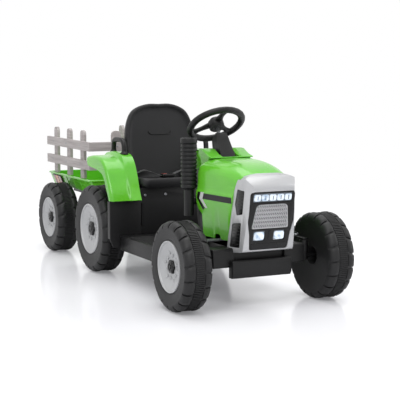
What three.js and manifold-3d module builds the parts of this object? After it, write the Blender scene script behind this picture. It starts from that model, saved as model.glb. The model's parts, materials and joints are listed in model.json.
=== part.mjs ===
// Child's ride-on tractor with a two-wheel trailer. Millimetres, +Z up, the front faces -Y.
// The origin is on the ground under the middle of the whole train; +X is the driver's left.
// Left-hand pieces are built at +X, and a mirrored group makes the right-hand ones.
import * as THREE from "three";
import { mergeVertices } from "three/addons/utils/BufferGeometryUtils.js";
import Module from "manifold-3d";

const wasm = await Module();
wasm.setup();

// ---- driving dimensions ----
const WALL = 3.5; // moulded plastic walls
const FIT = 0.4; // gap between pieces that seat on each other
const RUN = 0.6; // radial running clearance of shafts and pins

const FRONT_AXLE_Y = -558;
const WHEELBASE = 624;
const TRAILER_BASE = 422; // rear axle to trailer axle
const REAR_AXLE_Y = FRONT_AXLE_Y + WHEELBASE;
const TRAILER_AXLE_Y = REAR_AXLE_Y + TRAILER_BASE;
const AXLE_R = 5;
const WHEEL_STEPS = 20; // a multiple of four, so a flat facet stands on the ground
const TYRE_WIDTH = 72;
const FRONT_WHEEL = { radius: 112, rim: 66, centreX: 201, cap: 18 };
const REAR_WHEEL = { radius: 127, rim: 75, centreX: 172.5, cap: 22 };
const TUB_HALF = 128;
const TRAILER_WHEEL = { radius: 112, rim: 66, centreX: TUB_HALF + 27, cap: 19 };

const KINGPIN_X = 148;
const KINGPIN_R = 6;
const ARM_LENGTH = 42; // steering arm, kingpin to tie rod pin
const ARM_THICKNESS = 5;
const TIE_ROD_THICKNESS = 6;
const WHEEL_LOCK = THREE.MathUtils.degToRad(25);
const HAND_LOCK = THREE.MathUtils.degToRad(45);
const STEER_TILT = THREE.MathUtils.degToRad(35); // steering wheel plane from level
const STEER_HUB = { y: -349, z: 446 };
const STEER_RING_R = 71.5;
const STEER_TUBE_R = 8.5;
const SHAFT_R = 5;

const HOOD_REAR_Y = -428;
const HOOD_BOTTOM_Z = 166;
const FACE_LEAN = THREE.MathUtils.degToRad(11.3);
const FACE_FOOT = { y: -624, z: 150 }; // lower edge of the leaning nose face
const SURROUND_HALF = 77;
const TRAY_TOP_Z = 150;
const TRAY_BOTTOM_Z = 106;
const TRAY_FRONT_Y = -585;
const BUMPER = { half: 84, depth: 22, bottom: 77, top: 121 };

const BOARD_HALF = 175;
const BOARD_FRONT_Y = -408;
const BOARD_REAR_Y = REAR_AXLE_Y - 162.4;
const BOARD_BOTTOM_Z = 85;
const FLOOR_TOP_Z = 125;
const SPINE_TOP_Z = 119;
const SEAT_BOX_HALF = 114;
const SEAT_BOX_FRONT_Y = REAR_AXLE_Y - 158;
const SEAT_BOX_REAR_Y = REAR_AXLE_Y + 46;
const SEAT_BOX_TOP_Z = 257;

const FENDER_INNER_X = SEAT_BOX_HALF + FIT;
const FENDER_STEP_X = 148; // the raised inner strip ends here
const FENDER_OUTER_X = 208;
const FENDER_REAR_Y = 78;
const FENDER_TOP_Z = 352;
const FENDER_STEP_DROP = 10;

const HITCH_Y = REAR_AXLE_Y + 99;
const HITCH_Z = 100;
const HITCH_PIN_R = 5;
const PLATE = 5; // hitch plate and tongue
const TUB = {
  front: TRAILER_AXLE_Y - 224,
  rear: TRAILER_AXLE_Y + 180,
  half: TUB_HALF,
  floorHalf: TUB_HALF - 18,
  top: 247,
  bottom: 205,
};
const FENCE = { board: 10, railHeight: 28, postWidth: 30, topRail: 338, lowRail: 279, top: 400 };

// ---- finishes ----
const finish = (color, roughness, metalness = 0) =>
  new THREE.MeshStandardMaterial({ color, roughness, metalness });
const green = finish(0x5cbe2c, 0.28);
const blackPlastic = finish(0x1f1f21, 0.5);
const tyreBlack = finish(0x26262a, 0.7);
const silver = finish(0xc4c6c8, 0.4, 0.3);
const meshGrey = finish(0x9a9c9e, 0.5, 0.3);
const fenceGrey = finish(0x8a8482, 0.6);
const lens = finish(0xdde8f5, 0.15);
const tailRed = finish(0x8c4020, 0.3);
const steel = finish(0x8f9296, 0.4, 0.9);
const webbing = finish(0x161617, 0.9);

// ---- solids from three.js geometry ----
function solid(geometry) {
  const bare = geometry.clone();
  bare.deleteAttribute("normal");
  bare.deleteAttribute("uv");
  const merged = mergeVertices(bare, 1e-4);
  const corners = merged.index.array;
  const faces = [];
  for (let i = 0; i < corners.length; i += 3) {
    const [a, b, c] = corners.slice(i, i + 3);
    if (a !== b && b !== c && c !== a) faces.push(a, b, c);
  }
  return new wasm.Manifold(
    new wasm.Mesh({
      numProp: 3,
      vertProperties: merged.attributes.position.array,
      triVerts: new Uint32Array(faces),
    }),
  );
}

function toGeometry(manifold) {
  const mesh = manifold.getMesh();
  const geometry = new THREE.BufferGeometry();
  geometry.setAttribute("position", new THREE.BufferAttribute(mesh.vertProperties, 3));
  geometry.setIndex(new THREE.BufferAttribute(mesh.triVerts, 1));
  geometry.computeVertexNormals();
  return geometry;
}

const join = (...pieces) => pieces.reduce((whole, piece) => whole.add(piece));
const cut = (body, ...tools) => tools.reduce((rest, tool) => rest.subtract(tool), body);

function place(geometry, matrix) {
  return solid(geometry.applyMatrix4(matrix));
}

function box(x0, x1, y0, y1, z0, z1) {
  const geometry = new THREE.BoxGeometry(x1 - x0, y1 - y0, z1 - z0);
  geometry.translate((x0 + x1) / 2, (y0 + y1) / 2, (z0 + z1) / 2);
  return solid(geometry);
}

// A rod between two points, with its flats turned by half a step.
function rod(from, to, radius, steps = 12) {
  const start = new THREE.Vector3(...from);
  const along = new THREE.Vector3(...to).sub(start);
  const geometry = new THREE.CylinderGeometry(radius, radius, along.length(), steps);
  const turn = new THREE.Quaternion().setFromUnitVectors(
    new THREE.Vector3(0, 1, 0),
    along.clone().normalize(),
  );
  geometry.applyQuaternion(turn);
  geometry.translate(...start.addScaledVector(along, 0.5).toArray());
  return solid(geometry);
}

const shapeOf = (points) => new THREE.Shape(points.map(([a, b]) => new THREE.Vector2(a, b)));

function extrude(outline, depth) {
  const shape = Array.isArray(outline) ? shapeOf(outline) : outline;
  return new THREE.ExtrudeGeometry(shape, { depth, bevelEnabled: false, curveSegments: 4 });
}

// An outline of (y, z) points swept along X, of (x, z) along Y, and of (x, y) along Z.
function prismX(outline, x0, x1) {
  const basis = new THREE.Matrix4().set(0, 0, 1, x0, 1, 0, 0, 0, 0, 1, 0, 0, 0, 0, 0, 1);
  return place(extrude(outline, x1 - x0), basis);
}

function prismY(outline, y0, y1) {
  const basis = new THREE.Matrix4().set(1, 0, 0, 0, 0, 0, -1, y1, 0, 1, 0, 0, 0, 0, 0, 1);
  return place(extrude(outline, y1 - y0), basis);
}

function prismZ(outline, z0, z1) {
  return place(extrude(outline, z1 - z0), new THREE.Matrix4().makeTranslation(0, 0, z0));
}

// A rectangle with round corners, as an outline for the prisms.
function roundedRect(a0, a1, b0, b1, radius) {
  const shape = new THREE.Shape();
  shape.moveTo(a0 + radius, b0);
  shape.lineTo(a1 - radius, b0);
  shape.quadraticCurveTo(a1, b0, a1, b0 + radius);
  shape.lineTo(a1, b1 - radius);
  shape.quadraticCurveTo(a1, b1, a1 - radius, b1);
  shape.lineTo(a0 + radius, b1);
  shape.quadraticCurveTo(a0, b1, a0, b1 - radius);
  shape.lineTo(a0, b0 + radius);
  shape.quadraticCurveTo(a0, b0, a0 + radius, b0);
  return shape;
}

// A strip of even thickness under a line of points that runs from low to high a.
function ribbon(points, thickness) {
  const under = points.map(([a, b], i) => {
    const before = points[Math.max(i - 1, 0)];
    const after = points[Math.min(i + 1, points.length - 1)];
    const length = Math.hypot(after[0] - before[0], after[1] - before[1]);
    const shift = thickness / length;
    return [a + (after[1] - before[1]) * shift, b - (after[0] - before[0]) * shift];
  });
  return [...under, ...points.slice().reverse()];
}

// A closed ring or solid of revolution about the X axis, from (radius, x) points.
function turned(profile, steps) {
  const points = profile.map(([radius, x]) => new THREE.Vector2(radius, x));
  if (profile[0][0] > 0) points.push(points[0]);
  const geometry = new THREE.LatheGeometry(points, steps, Math.PI / steps);
  const basis = new THREE.Matrix4().set(0, 1, 0, 0, 1, 0, 0, 0, 0, 0, -1, 0, 0, 0, 0, 1);
  return place(geometry, basis);
}

// A body through sections with the same number of points each, listed from front to rear.
function loft(given) {
  const project = (section) => section.map(([x, , z]) => new THREE.Vector2(x, z));
  const clockwise = THREE.ShapeUtils.isClockWise(project(given[0]));
  const sections = given.map((section) => (clockwise ? section.slice().reverse() : section));
  const count = sections[0].length;
  const faces = [];
  for (let s = 0; s + 1 < sections.length; s++) {
    for (let i = 0; i < count; i++) {
      const a = s * count + i;
      const b = s * count + ((i + 1) % count);
      faces.push(a, b, b + count, a, b + count, a + count);
    }
  }
  const last = (sections.length - 1) * count;
  for (const [a, b, c] of THREE.ShapeUtils.triangulateShape(project(sections[0]), [])) {
    faces.push(c, b, a, last + a, last + b, last + c);
  }
  const geometry = new THREE.BufferGeometry();
  geometry.setAttribute("position", new THREE.Float32BufferAttribute(sections.flat(2), 3));
  geometry.setIndex(faces.reverse());
  return solid(geometry);
}

const root = new THREE.Group();
const leftSide = new THREE.Group();
const rightSide = new THREE.Group();
rightSide.scale.x = -1;
root.add(leftSide, rightSide);

function add(parent, name, body, material) {
  const mesh = new THREE.Mesh(toGeometry(body), material);
  mesh.name = name;
  parent.add(mesh);
  return mesh;
}

function addPair(name, body, material, position = [0, 0, 0]) {
  for (const [side, group] of [["right", rightSide], ["left", leftSide]]) {
    add(group, `${name}_${side}`, body, material).position.set(...position);
  }
}

// ---- wheels ----
const HUB_R = 20;
const HUB_OUT = 20; // hub tube's outer end, from the wheel's middle plane
const CAP_BASE = 24;

function wheelPieces(wheel) {
  const half = TYRE_WIDTH / 2;
  const reach = wheel.radius / Math.cos(Math.PI / WHEEL_STEPS);
  const bore = (AXLE_R + RUN) / Math.cos(Math.PI / WHEEL_STEPS);
  const tread = 6;
  const tyre = turned(
    [
      [bore, -28], [HUB_R + 4, -28], [wheel.rim, -32], [reach - 10, -half], [reach, -half + 12],
      [reach, half - 12], [reach - 10, half], [wheel.rim + 2, half], [wheel.rim, half - 6],
      [reach - 14, half - 6], [reach - tread, half - 14], [reach - tread, 14 - half],
      [wheel.rim, -27], [HUB_R, -23], [HUB_R, HUB_OUT], [bore, HUB_OUT],
    ],
    WHEEL_STEPS,
  );
  const seatR = wheel.rim - FIT - 1;
  const rim = turned(
    [
      [wheel.cap - 4, HUB_OUT + FIT], [32, HUB_OUT + FIT], [seatR, 28], [seatR, 35],
      [seatR - 4, 35], [seatR - 9, 31], [34, CAP_BASE], [wheel.cap - 4, CAP_BASE],
    ],
    WHEEL_STEPS,
  );
  const cap = turned(
    [
      [0, HUB_OUT + 2], [wheel.cap - 6, HUB_OUT + 2], [wheel.cap - 6, CAP_BASE + FIT],
      [wheel.cap, CAP_BASE + FIT], [wheel.cap, CAP_BASE + 4], [wheel.cap - 5, CAP_BASE + 8],
      [0, CAP_BASE + 8],
    ],
    12,
  );
  return { tyre, rim, cap };
}

function addWheels(where, wheel, y) {
  const { tyre, rim, cap } = wheelPieces(wheel);
  const position = [wheel.centreX, y, wheel.radius];
  addPair(`tyre_${where}`, tyre, tyreBlack, position);
  addPair(`rim_${where}`, rim, silver, position);
  addPair(`hub_cap_${where}`, cap, blackPlastic, position);
}

addWheels("front", FRONT_WHEEL, FRONT_AXLE_Y);
addWheels("rear", REAR_WHEEL, REAR_AXLE_Y);
addWheels("trailer", TRAILER_WHEEL, TRAILER_AXLE_Y);

function axle(wheel, y) {
  const end = wheel.centreX + HUB_OUT;
  return rod([-end, y, wheel.radius], [end, y, wheel.radius], AXLE_R);
}

add(root, "rear_axle", axle(REAR_WHEEL, REAR_AXLE_Y), steel);
add(root, "trailer_axle", axle(TRAILER_WHEEL, TRAILER_AXLE_Y), steel);

// ---- steering ----
// The shaft runs down and forwards from the hub. Its crank points back and down, and the crank's
// pin stands in a slot of the tie rod; the tie rod's height follows from that.
const TIE_Y = FRONT_AXLE_Y + ARM_LENGTH;
const CRANK_R = (ARM_LENGTH * Math.sin(WHEEL_LOCK)) / Math.sin(HAND_LOCK);
const PIN_LINE_Y = STEER_HUB.y + CRANK_R / Math.cos(STEER_TILT);
const TIE_Z = STEER_HUB.z - (PIN_LINE_Y - TIE_Y) / Math.tan(STEER_TILT);
const ARM_Z = TIE_Z - TIE_ROD_THICKNESS / 2 - FIT - ARM_THICKNESS / 2;
const SLEEVE_R = 12;
const SLEEVE_TOP_Z = ARM_Z - ARM_THICKNESS / 2 - FIT;
const SLEEVE_BOTTOM_Z = FRONT_WHEEL.radius + SLEEVE_R;
const PIVOT_R = 4;
const TIE_PAD_R = 9;

// Points along the shaft: distance below the hub, and offset towards the crank.
function onShaft(down, offset = 0) {
  return [
    0,
    STEER_HUB.y - down * Math.sin(STEER_TILT) + offset * Math.cos(STEER_TILT),
    STEER_HUB.z - down * Math.cos(STEER_TILT) - offset * Math.sin(STEER_TILT),
  ];
}

function knuckle() {
  const y = FRONT_AXLE_Y;
  const x = KINGPIN_X;
  const pin = rod([x, y, FRONT_WHEEL.radius - 6], [x, y, ARM_Z], KINGPIN_R);
  const collar = rod([x, y, FRONT_WHEEL.radius - 8], [x, y, SLEEVE_BOTTOM_Z - FIT], SLEEVE_R - 1);
  const stub = rod(
    [x, y, FRONT_WHEEL.radius],
    [FRONT_WHEEL.centreX + HUB_OUT, y, FRONT_WHEEL.radius],
    AXLE_R,
  );
  const half = ARM_THICKNESS / 2;
  const arm = box(x - 7, x + 7, y - 9, TIE_Y + 8, ARM_Z - half, ARM_Z + half);
  const top = TIE_Z + TIE_ROD_THICKNESS;
  const pivot = rod([x, TIE_Y, ARM_Z], [x, TIE_Y, top], PIVOT_R);
  return join(pin, collar, stub, arm, pivot);
}

addPair("knuckle", knuckle(), steel);

function tieRod() {
  const z0 = TIE_Z - TIE_ROD_THICKNESS / 2;
  const z1 = TIE_Z + TIE_ROD_THICKNESS / 2;
  const reach = KINGPIN_X;
  const pads = [-reach, reach].map((x) => rod([x, TIE_Y, z0], [x, TIE_Y, z1], TIE_PAD_R));
  const bar = box(-reach, reach, TIE_Y - 5, TIE_Y + 5, z0, z1);
  const slotPad = box(-15, 15, TIE_Y - 14, TIE_Y + 14, z0, z1);
  const holes = [-reach, reach].map((x) =>
    rod([x, TIE_Y, z0 - 1], [x, TIE_Y, z1 + 1], PIVOT_R + 1.2),
  );
  const slot = box(-5.2, 5.2, TIE_Y - 10, TIE_Y + 10, z0 - 1, z1 + 1);
  return cut(join(bar, slotPad, ...pads), ...holes, slot);
}

add(root, "tie_rod", tieRod(), steel);

const CRANK_DOWN = (STEER_HUB.z - TIE_Z) / Math.cos(STEER_TILT) - CRANK_R * Math.tan(STEER_TILT);
const CRANK_AT = CRANK_DOWN - 16;
const SHAFT_FOOT_Z = 131; // in its bearing on the axle beam
const SHAFT_END = (STEER_HUB.z - SHAFT_FOOT_Z) / Math.cos(STEER_TILT);
const CRANK_PIN_R = 3.5;

function steeringShaft() {
  const shaft = rod(onShaft(8), onShaft(SHAFT_END), SHAFT_R);
  const plate = rod(onShaft(CRANK_AT - 3), onShaft(CRANK_AT + 3), 9);
  const tip = rod(onShaft(CRANK_AT - 3, CRANK_R), onShaft(CRANK_AT + 3, CRANK_R), 7);
  const web = rod(onShaft(CRANK_AT), onShaft(CRANK_AT, CRANK_R), 3);
  const pin = rod(onShaft(CRANK_AT, CRANK_R), onShaft(CRANK_DOWN + 7, CRANK_R), CRANK_PIN_R);
  return join(shaft, plate, tip, web, pin);
}

add(root, "steering_shaft", steeringShaft(), steel);

// The steering wheel is built flat, its axis along +Z, and then tilted onto the shaft.
const HUB_TOP = 12;
const HORN_R = 15;

function steeringWheel() {
  const ring = place(
    new THREE.TorusGeometry(STEER_RING_R, STEER_TUBE_R, 8, 24),
    new THREE.Matrix4(),
  );
  const hub = rod([0, 0, -14], [0, 0, HUB_TOP], 21, 16);
  const spokes = [-90, 35, 145].map((degrees) => {
    const angle = THREE.MathUtils.degToRad(degrees);
    const bar = new THREE.BoxGeometry(STEER_RING_R - 8, 20, 8);
    bar.translate((STEER_RING_R + 8) / 2, 0, 0);
    return place(bar, new THREE.Matrix4().makeRotationZ(angle));
  });
  const shaftBore = rod([0, 0, -20], [0, 0, -8 + FIT], SHAFT_R + FIT);
  const hornWell = rod([0, 0, HUB_TOP - 7], [0, 0, HUB_TOP + 2], HORN_R + RUN, 16);
  return cut(join(ring, hub, ...spokes), shaftBore, hornWell);
}

const hornButton = rod([0, 0, HUB_TOP - 4], [0, 0, HUB_TOP + 6], HORN_R - RUN / 2, 16);
for (const [name, body] of [["steering_wheel", steeringWheel()], ["horn_button", hornButton]]) {
  const mesh = add(root, name, body, blackPlastic);
  mesh.position.set(0, STEER_HUB.y, STEER_HUB.z);
  mesh.rotation.x = -STEER_TILT;
}

// ---- hood, dash and nose ----
// Stations of the hood from nose to dash: half width, edge height and crest height.
const HOOD = [
  { y: -630, half: 73, edge: 319, crest: 333 },
  { y: -600, half: 77, edge: 331, crest: 346 },
  { y: -555, half: 83, edge: 341, crest: 357 },
  { y: -500, half: 89, edge: 346, crest: 362 },
  { y: HOOD_REAR_Y, half: 96, edge: 347, crest: 363 },
  { y: -386, half: 98, edge: 347, crest: 363 },
];
const CREASE_Z = 282;
const SKIRT_SLOPE = 10 / (CREASE_Z - HOOD_BOTTOM_Z); // the skirt leans in towards its foot

function hoodStation(y) {
  const next = Math.max(1, HOOD.findIndex((station) => station.y >= y));
  const [a, b] = [HOOD[next - 1], HOOD[next]];
  const t = (y - a.y) / (b.y - a.y);
  const mix = (key) => a[key] + (b[key] - a[key]) * t;
  return { y, half: mix("half"), edge: mix("edge"), crest: mix("crest") };
}

// Half of the hood's section, from the skirt's foot up to the crest, moved inwards by inset.
function hoodHalf(y, inset, footZ) {
  const { half, edge, crest } = hoodStation(y);
  return [
    [half - SKIRT_SLOPE * (CREASE_Z - footZ) - inset, y, footZ],
    [half - inset, y, CREASE_Z],
    [half - 2 - inset, y, edge - 8 - inset],
    [half - 10 - inset, y, edge + 4 - inset],
    [half * 0.6, y, crest - 3 - inset],
    [0, y, crest - inset],
  ];
}

function hoodLoop(y, inset, footZ) {
  const half = hoodHalf(y, inset, footZ);
  const other = half.slice(0, -1).map(([x, yy, z]) => [-x, yy, z]);
  return [...half, ...other.reverse()];
}

function hoodBody(stations, inset, footZ) {
  return loft(stations.map((y) => hoodLoop(y, inset, footZ)));
}

// The nose surround's rear edge, seen from the side; the hood is cut back from it.
const NOSE_REAR = [[-622, 340], [-609, 321], [-595, 297], [-559, 138]];

function hood() {
  const stations = HOOD.filter((station) => station.y <= HOOD_REAR_Y).map(({ y }) => y);
  const rearTail = HOOD_REAR_Y + 10;
  const outer = hoodBody([...stations, rearTail], 0, HOOD_BOTTOM_Z);
  const inner = hoodBody([-632, ...stations.slice(1), rearTail + 2], WALL, HOOD_BOTTOM_Z - 1);
  const nose = [[-700, 345], ...NOSE_REAR.map(([y, z]) => [y + FIT, z]), [-559, 100], [-700, 100]];
  const rearCut = [
    [HOOD_REAR_Y, 400], [HOOD_REAR_Y, 290], [HOOD_REAR_Y + 7, 250],
    [HOOD_REAR_Y - 18, 222], [HOOD_REAR_Y - 15, 120], [-380, 120], [-380, 400],
  ];
  const notch = [[-532, 160], [-524, 178], [-500, 178], [-492, 160]];
  return cut(
    outer,
    inner,
    prismX(nose, -120, 120),
    prismX(rearCut, -120, 120),
    prismX(notch, -120, 120),
  );
}

add(root, "hood", hood(), green);

// Side outline of the nose surround, and its plan, both closed.
const NOSE_FRONT = FACE_FOOT.y - 9;
const NOSE_LEAN_Y = (z) => -(z - FACE_FOOT.z) * Math.tan(FACE_LEAN);
const NOSE_TOP_Z = 304;

function noseProfile(inset) {
  const front = NOSE_FRONT + inset;
  return [
    [front, FACE_FOOT.z - 4], [-559 - inset, 138], [-595 - inset, 297], [-609 - inset, 321 - inset],
    [-622, 338 - inset], [-634, 336 - inset], [front + NOSE_LEAN_Y(NOSE_TOP_Z), NOSE_TOP_Z - inset],
  ];
}

// Half width of the surround at y: it narrows towards the nose.
const NOSE_TAPER = 0.08;
const noseHalf = (y) => SURROUND_HALF + (y - NOSE_REAR[3][0]) * NOSE_TAPER;

function nosePlan(inset) {
  const rear = -540;
  const corner = -645;
  const front = -680;
  const side = [
    [noseHalf(rear) - inset, rear], [noseHalf(corner) - inset, corner],
    [noseHalf(corner) - inset - 12, front],
  ];
  return [...side, ...side.map(([x, y]) => [-x, y]).reverse()].reverse();
}

const UPPER_VENT = [[-632, 240], [-604, 235], [-597, 262], [-609, 300], [-640, 298]];
const LOWER_VENT = [[-619, 156], [-572, 153], [-585, 213], [-626, 219]];

function inward(outline, amount) {
  const centre = outline.reduce((sum, [a, b]) => [sum[0] + a, sum[1] + b], [0, 0]);
  const [ca, cb] = centre.map((value) => value / outline.length);
  return outline.map(([a, b]) => {
    const away = Math.hypot(a - ca, b - cb);
    const share = 1 - amount / away;
    return [ca + (a - ca) * share, cb + (b - cb) * share];
  });
}

// The face opening and everything in it is drawn in (x, height up the leaning face).
const PANEL = { bottom: 2, top: 150, waist: 74, bottomHalf: 53, waistHalf: 64, topHalf: 61 };

const PANEL_INSET = 4.5;

function panelOutline(grow) {
  const { bottom, top, waist, bottomHalf, waistHalf, topHalf } = PANEL;
  const half = [
    [bottomHalf + grow, bottom - grow], [bottomHalf + 4 + grow, bottom + 40],
    [waistHalf + grow, waist], [topHalf + grow, top - 5], [topHalf - 5 + grow, top + grow],
  ];
  return [...half, ...half.map(([x, h]) => [-x, h]).reverse()];
}

// Turns a body drawn on the upright face, thickness along Y, onto the leaning face.
function lean(outline, front, back) {
  const basis = new THREE.Matrix4()
    .makeTranslation(0, FACE_FOOT.y - PANEL_INSET, FACE_FOOT.z)
    .multiply(new THREE.Matrix4().makeRotationX(FACE_LEAN))
    .multiply(new THREE.Matrix4().set(1, 0, 0, 0, 0, 0, -1, back, 0, 1, 0, 0, 0, 0, 0, 1));
  return place(extrude(outline, back - front), basis);
}

// The surround's top is crowned across, like the hood behind it.
function noseCrown(inset) {
  const top = NOSE_REAR[0][1] - inset;
  const half = SURROUND_HALF - inset;
  const side = [[half, 90], [half, top - 26], [half - 12, top - 11], [half * 0.45, top - 2]];
  return [...side, ...side.map(([x, z]) => [-x, z]).reverse()];
}

function grilleSurround() {
  const shell = (inset) =>
    prismX(noseProfile(inset), -100, 100)
      .intersect(prismZ(nosePlan(inset), 90, 400))
      .intersect(prismY(noseCrown(inset), -700, -540));
  const outer = shell(0);
  const inner = shell(WALL);
  const insidePlan = prismZ(nosePlan(WALL), 90, 400);
  const open = [
    [-628, 120], [-540, 120], [-540, 150], [-580, 334], [-622, 334], [-622, 160], [-628, 160],
  ];
  const behind = prismX(open, -100, 100).intersect(insidePlan);
  return cut(
    outer,
    inner,
    behind,
    lean(panelOutline(FIT), -40, 20),
    prismX(UPPER_VENT, -100, 100),
    prismX(LOWER_VENT, -100, 100),
  );
}

add(root, "grille_surround", grilleSurround(), silver);

// Everything on the leaning face, as (x, height) outlines and depths from the face plane.
const lightBar = (grow) => roundedRect(-54 - grow, 54 + grow, 124 - grow, 145 + grow, 4);
const GRILLE = [[-51, 56], [51, 56], [43, 112], [36, 117], [-36, 117], [-43, 112]];
const LAMP_X = [12, 44];
const LAMP_H = [24, 49];

function facePanel() {
  const panel = lean(panelOutline(0), -3, 1);
  const lampHoles = [-1, 1].map((side) => {
    const [a, b] = LAMP_X.map((x) => x * side).sort((p, q) => p - q);
    return lean(roundedRect(a - FIT, b + FIT, LAMP_H[0] - FIT, LAMP_H[1] + FIT, 4), -9, 9);
  });
  const barHole = lean(lightBar(FIT), -9, 9);
  const grilleHole = lean(GRILLE.map(([x, h]) => [x * 1.01, 86 + (h - 86) * 1.015]), -9, 9);
  const foot = lean([[-52, 3], [52, 3], [52, 20], [-52, 20]], 0, 6);
  return cut(join(panel, foot), ...lampHoles, barHole, grilleHole);
}

function grilleMesh() {
  const plate = lean(GRILLE, 0, 3);
  const bars = [-2, -1, 0, 1, 2].map((i) =>
    lean([[i * 16 - 2, 58], [i * 16 + 2, 58], [i * 14 + 2, 110], [i * 14 - 2, 110]], -1.5, 1),
  );
  return join(plate, ...bars);
}

function lampLens() {
  const blocks = [-1, 1].map((side) => {
    const [a, b] = LAMP_X.map((x) => x * side).sort((p, q) => p - q);
    return lean(roundedRect(a, b, ...LAMP_H, 4), -4, 5);
  });
  const strip = lean([[-40, 31], [40, 31], [40, 42], [-40, 42]], 1 + FIT, 5);
  return join(...blocks, strip);
}

add(root, "face_panel", facePanel(), blackPlastic);
add(root, "grille_mesh", grilleMesh(), meshGrey);
add(root, "light_bar_lens", lean(lightBar(0), -4, 4), lens);
add(root, "lower_lamp_lens", lampLens(), lens);

// Two dark louvred inserts a side, joined by a strip behind the surround.
function sideVent() {
  const outer = SURROUND_HALF;
  const inner = noseHalf(-622) - WALL - FIT;
  const panes = [UPPER_VENT, LOWER_VENT].map((vent) => {
    const pane = prismX(inward(vent, FIT * 2), inner - 8, outer + 1);
    return pane.intersect(prismZ(nosePlan(1), 100, 400));
  });
  const strip = [[-615, 190], [-600, 190], [-606, 262], [-622, 262]];
  const behind = prismX(strip, inner - 8, inner - 4);
  return join(...panes, behind);
}

addPair("side_vent", sideVent(), blackPlastic);

// The bumper bar is a channel, open behind, bolted against the front of the chassis tray.
function frontBumper() {
  const { half, depth, bottom, top } = BUMPER;
  const rear = TRAY_FRONT_Y - FIT;
  const front = rear - depth;
  const bar = prismX(
    [[front, bottom + 8], [front + 5, bottom], [rear, bottom], [rear, top], [front, top]],
    -half,
    half,
  );
  return cut(bar, box(5 - half, half - 5, front + WALL + 1, rear + 1, bottom + 4, top - 4));
}

add(root, "front_bumper", frontBumper(), blackPlastic);

const STACK = { x: 108, y: -407, r: 21, pipeR: 13, top: 416, shoulder: 288, bottom: 214 };

function exhaustStack() {
  const { r, pipeR, top, shoulder, bottom } = STACK;
  const points = [[0, bottom], [pipeR, bottom], [pipeR, shoulder - 6], [r, shoulder]];
  const ribs = 6;
  const pitch = (top - 14 - shoulder) / ribs;
  for (let i = 1; i <= ribs; i++) {
    const z = shoulder + i * pitch;
    points.push([r, z - 5], [r - 2, z - 3], [r, z]);
  }
  points.push([r + 1, top - 10], [r + 1, top - 2], [r - 2, top], [0, top]);
  const geometry = new THREE.LatheGeometry(
    points.map(([radius, z]) => new THREE.Vector2(radius, z)),
    12,
  );
  geometry.rotateX(Math.PI / 2);
  geometry.translate(STACK.x, STACK.y, 0);
  const elbowZ = CREASE_Z - 30;
  const dashSide = hoodStation(STACK.y).half - DASH_INSET - SKIRT_SLOPE * (CREASE_Z - elbowZ - 9);
  const elbow = rod([dashSide + FIT, STACK.y, elbowZ], [STACK.x, STACK.y, elbowZ], 9, 8);
  return join(solid(geometry), elbow);
}

// The dash body: black, nested under the hood's rear, with the shroud of the steering column.
const DASH_FRONT_Y = HOOD_REAR_Y - 16;
const DASH_REAR_Y = -392;
const DASH_INSET = 15; // the part behind the hood is narrower than the collar under it
const COLUMN_TOP = 34; // below the hub, along the shaft
const COLUMN_FOOT = 112;
const COWL = { inner: 25, outer: 62, top: 384 };
const ROCKER = { x: 62, z: 300, slot: [284, 316] };

function columnSection(down, width, depth, back) {
  const middle = onShaft(down, back);
  const across = new THREE.Vector3(0, Math.cos(STEER_TILT), -Math.sin(STEER_TILT));
  const centre = new THREE.Vector3(...middle);
  return [[-1, -1], [1, -1], [1, 1], [-1, 1]].map(([a, b]) => {
    const point = centre.clone().addScaledVector(across, (b * depth) / 2);
    return [a * (width / 2), point.y, point.z];
  });
}

function dashBody() {
  const foot = FLOOR_TOP_Z + FIT;
  const collarRear = HOOD_REAR_Y + 2;
  const collar = hoodBody([DASH_FRONT_Y, collarRear], WALL + FIT, foot);
  const body = hoodBody([DASH_FRONT_Y + 4, DASH_REAR_Y], DASH_INSET, foot);
  const collarHollow = hoodBody([DASH_FRONT_Y - 1, collarRear - WALL], WALL * 2 + FIT, foot - 2);
  const hollow = hoodBody([DASH_FRONT_Y - 1, DASH_REAR_Y - WALL], DASH_INSET + WALL, foot - 2);
  const shroud = loft([columnSection(COLUMN_FOOT, 42, 54, 14), columnSection(COLUMN_TOP, 32, 30, 2)]);
  const shaftWay = rod(onShaft(0), onShaft(200), SHAFT_R + 3);
  const rockers = [-1, 1].map((side) =>
    box(side * ROCKER.x - 11 - FIT, side * ROCKER.x + 11 + FIT, -420, -380, ...ROCKER.slot),
  );
  return cut(join(cut(join(collar, body), collarHollow, hollow), shroud), shaftWay, ...rockers);
}

// Rocker switches on the dash panel, each with a stub axle that runs in slots of the panel.
function rocker(side) {
  const x = side * ROCKER.x;
  const cap = prismX(
    [
      [DASH_REAR_Y - 8, ROCKER.z - 9], [DASH_REAR_Y + 3, ROCKER.z - 14],
      [DASH_REAR_Y + 1, ROCKER.z], [DASH_REAR_Y + 3, ROCKER.z + 14],
      [DASH_REAR_Y - 8, ROCKER.z + 9],
    ],
    x - 11 + FIT,
    x + 11 - FIT,
  );
  return cap;
}

add(root, "dash_body", dashBody(), blackPlastic);
add(root, "direction_switch", rocker(-1), blackPlastic);
add(root, "power_switch", rocker(1), blackPlastic);
add(rightSide, "exhaust_stack", exhaustStack(), blackPlastic);

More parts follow.
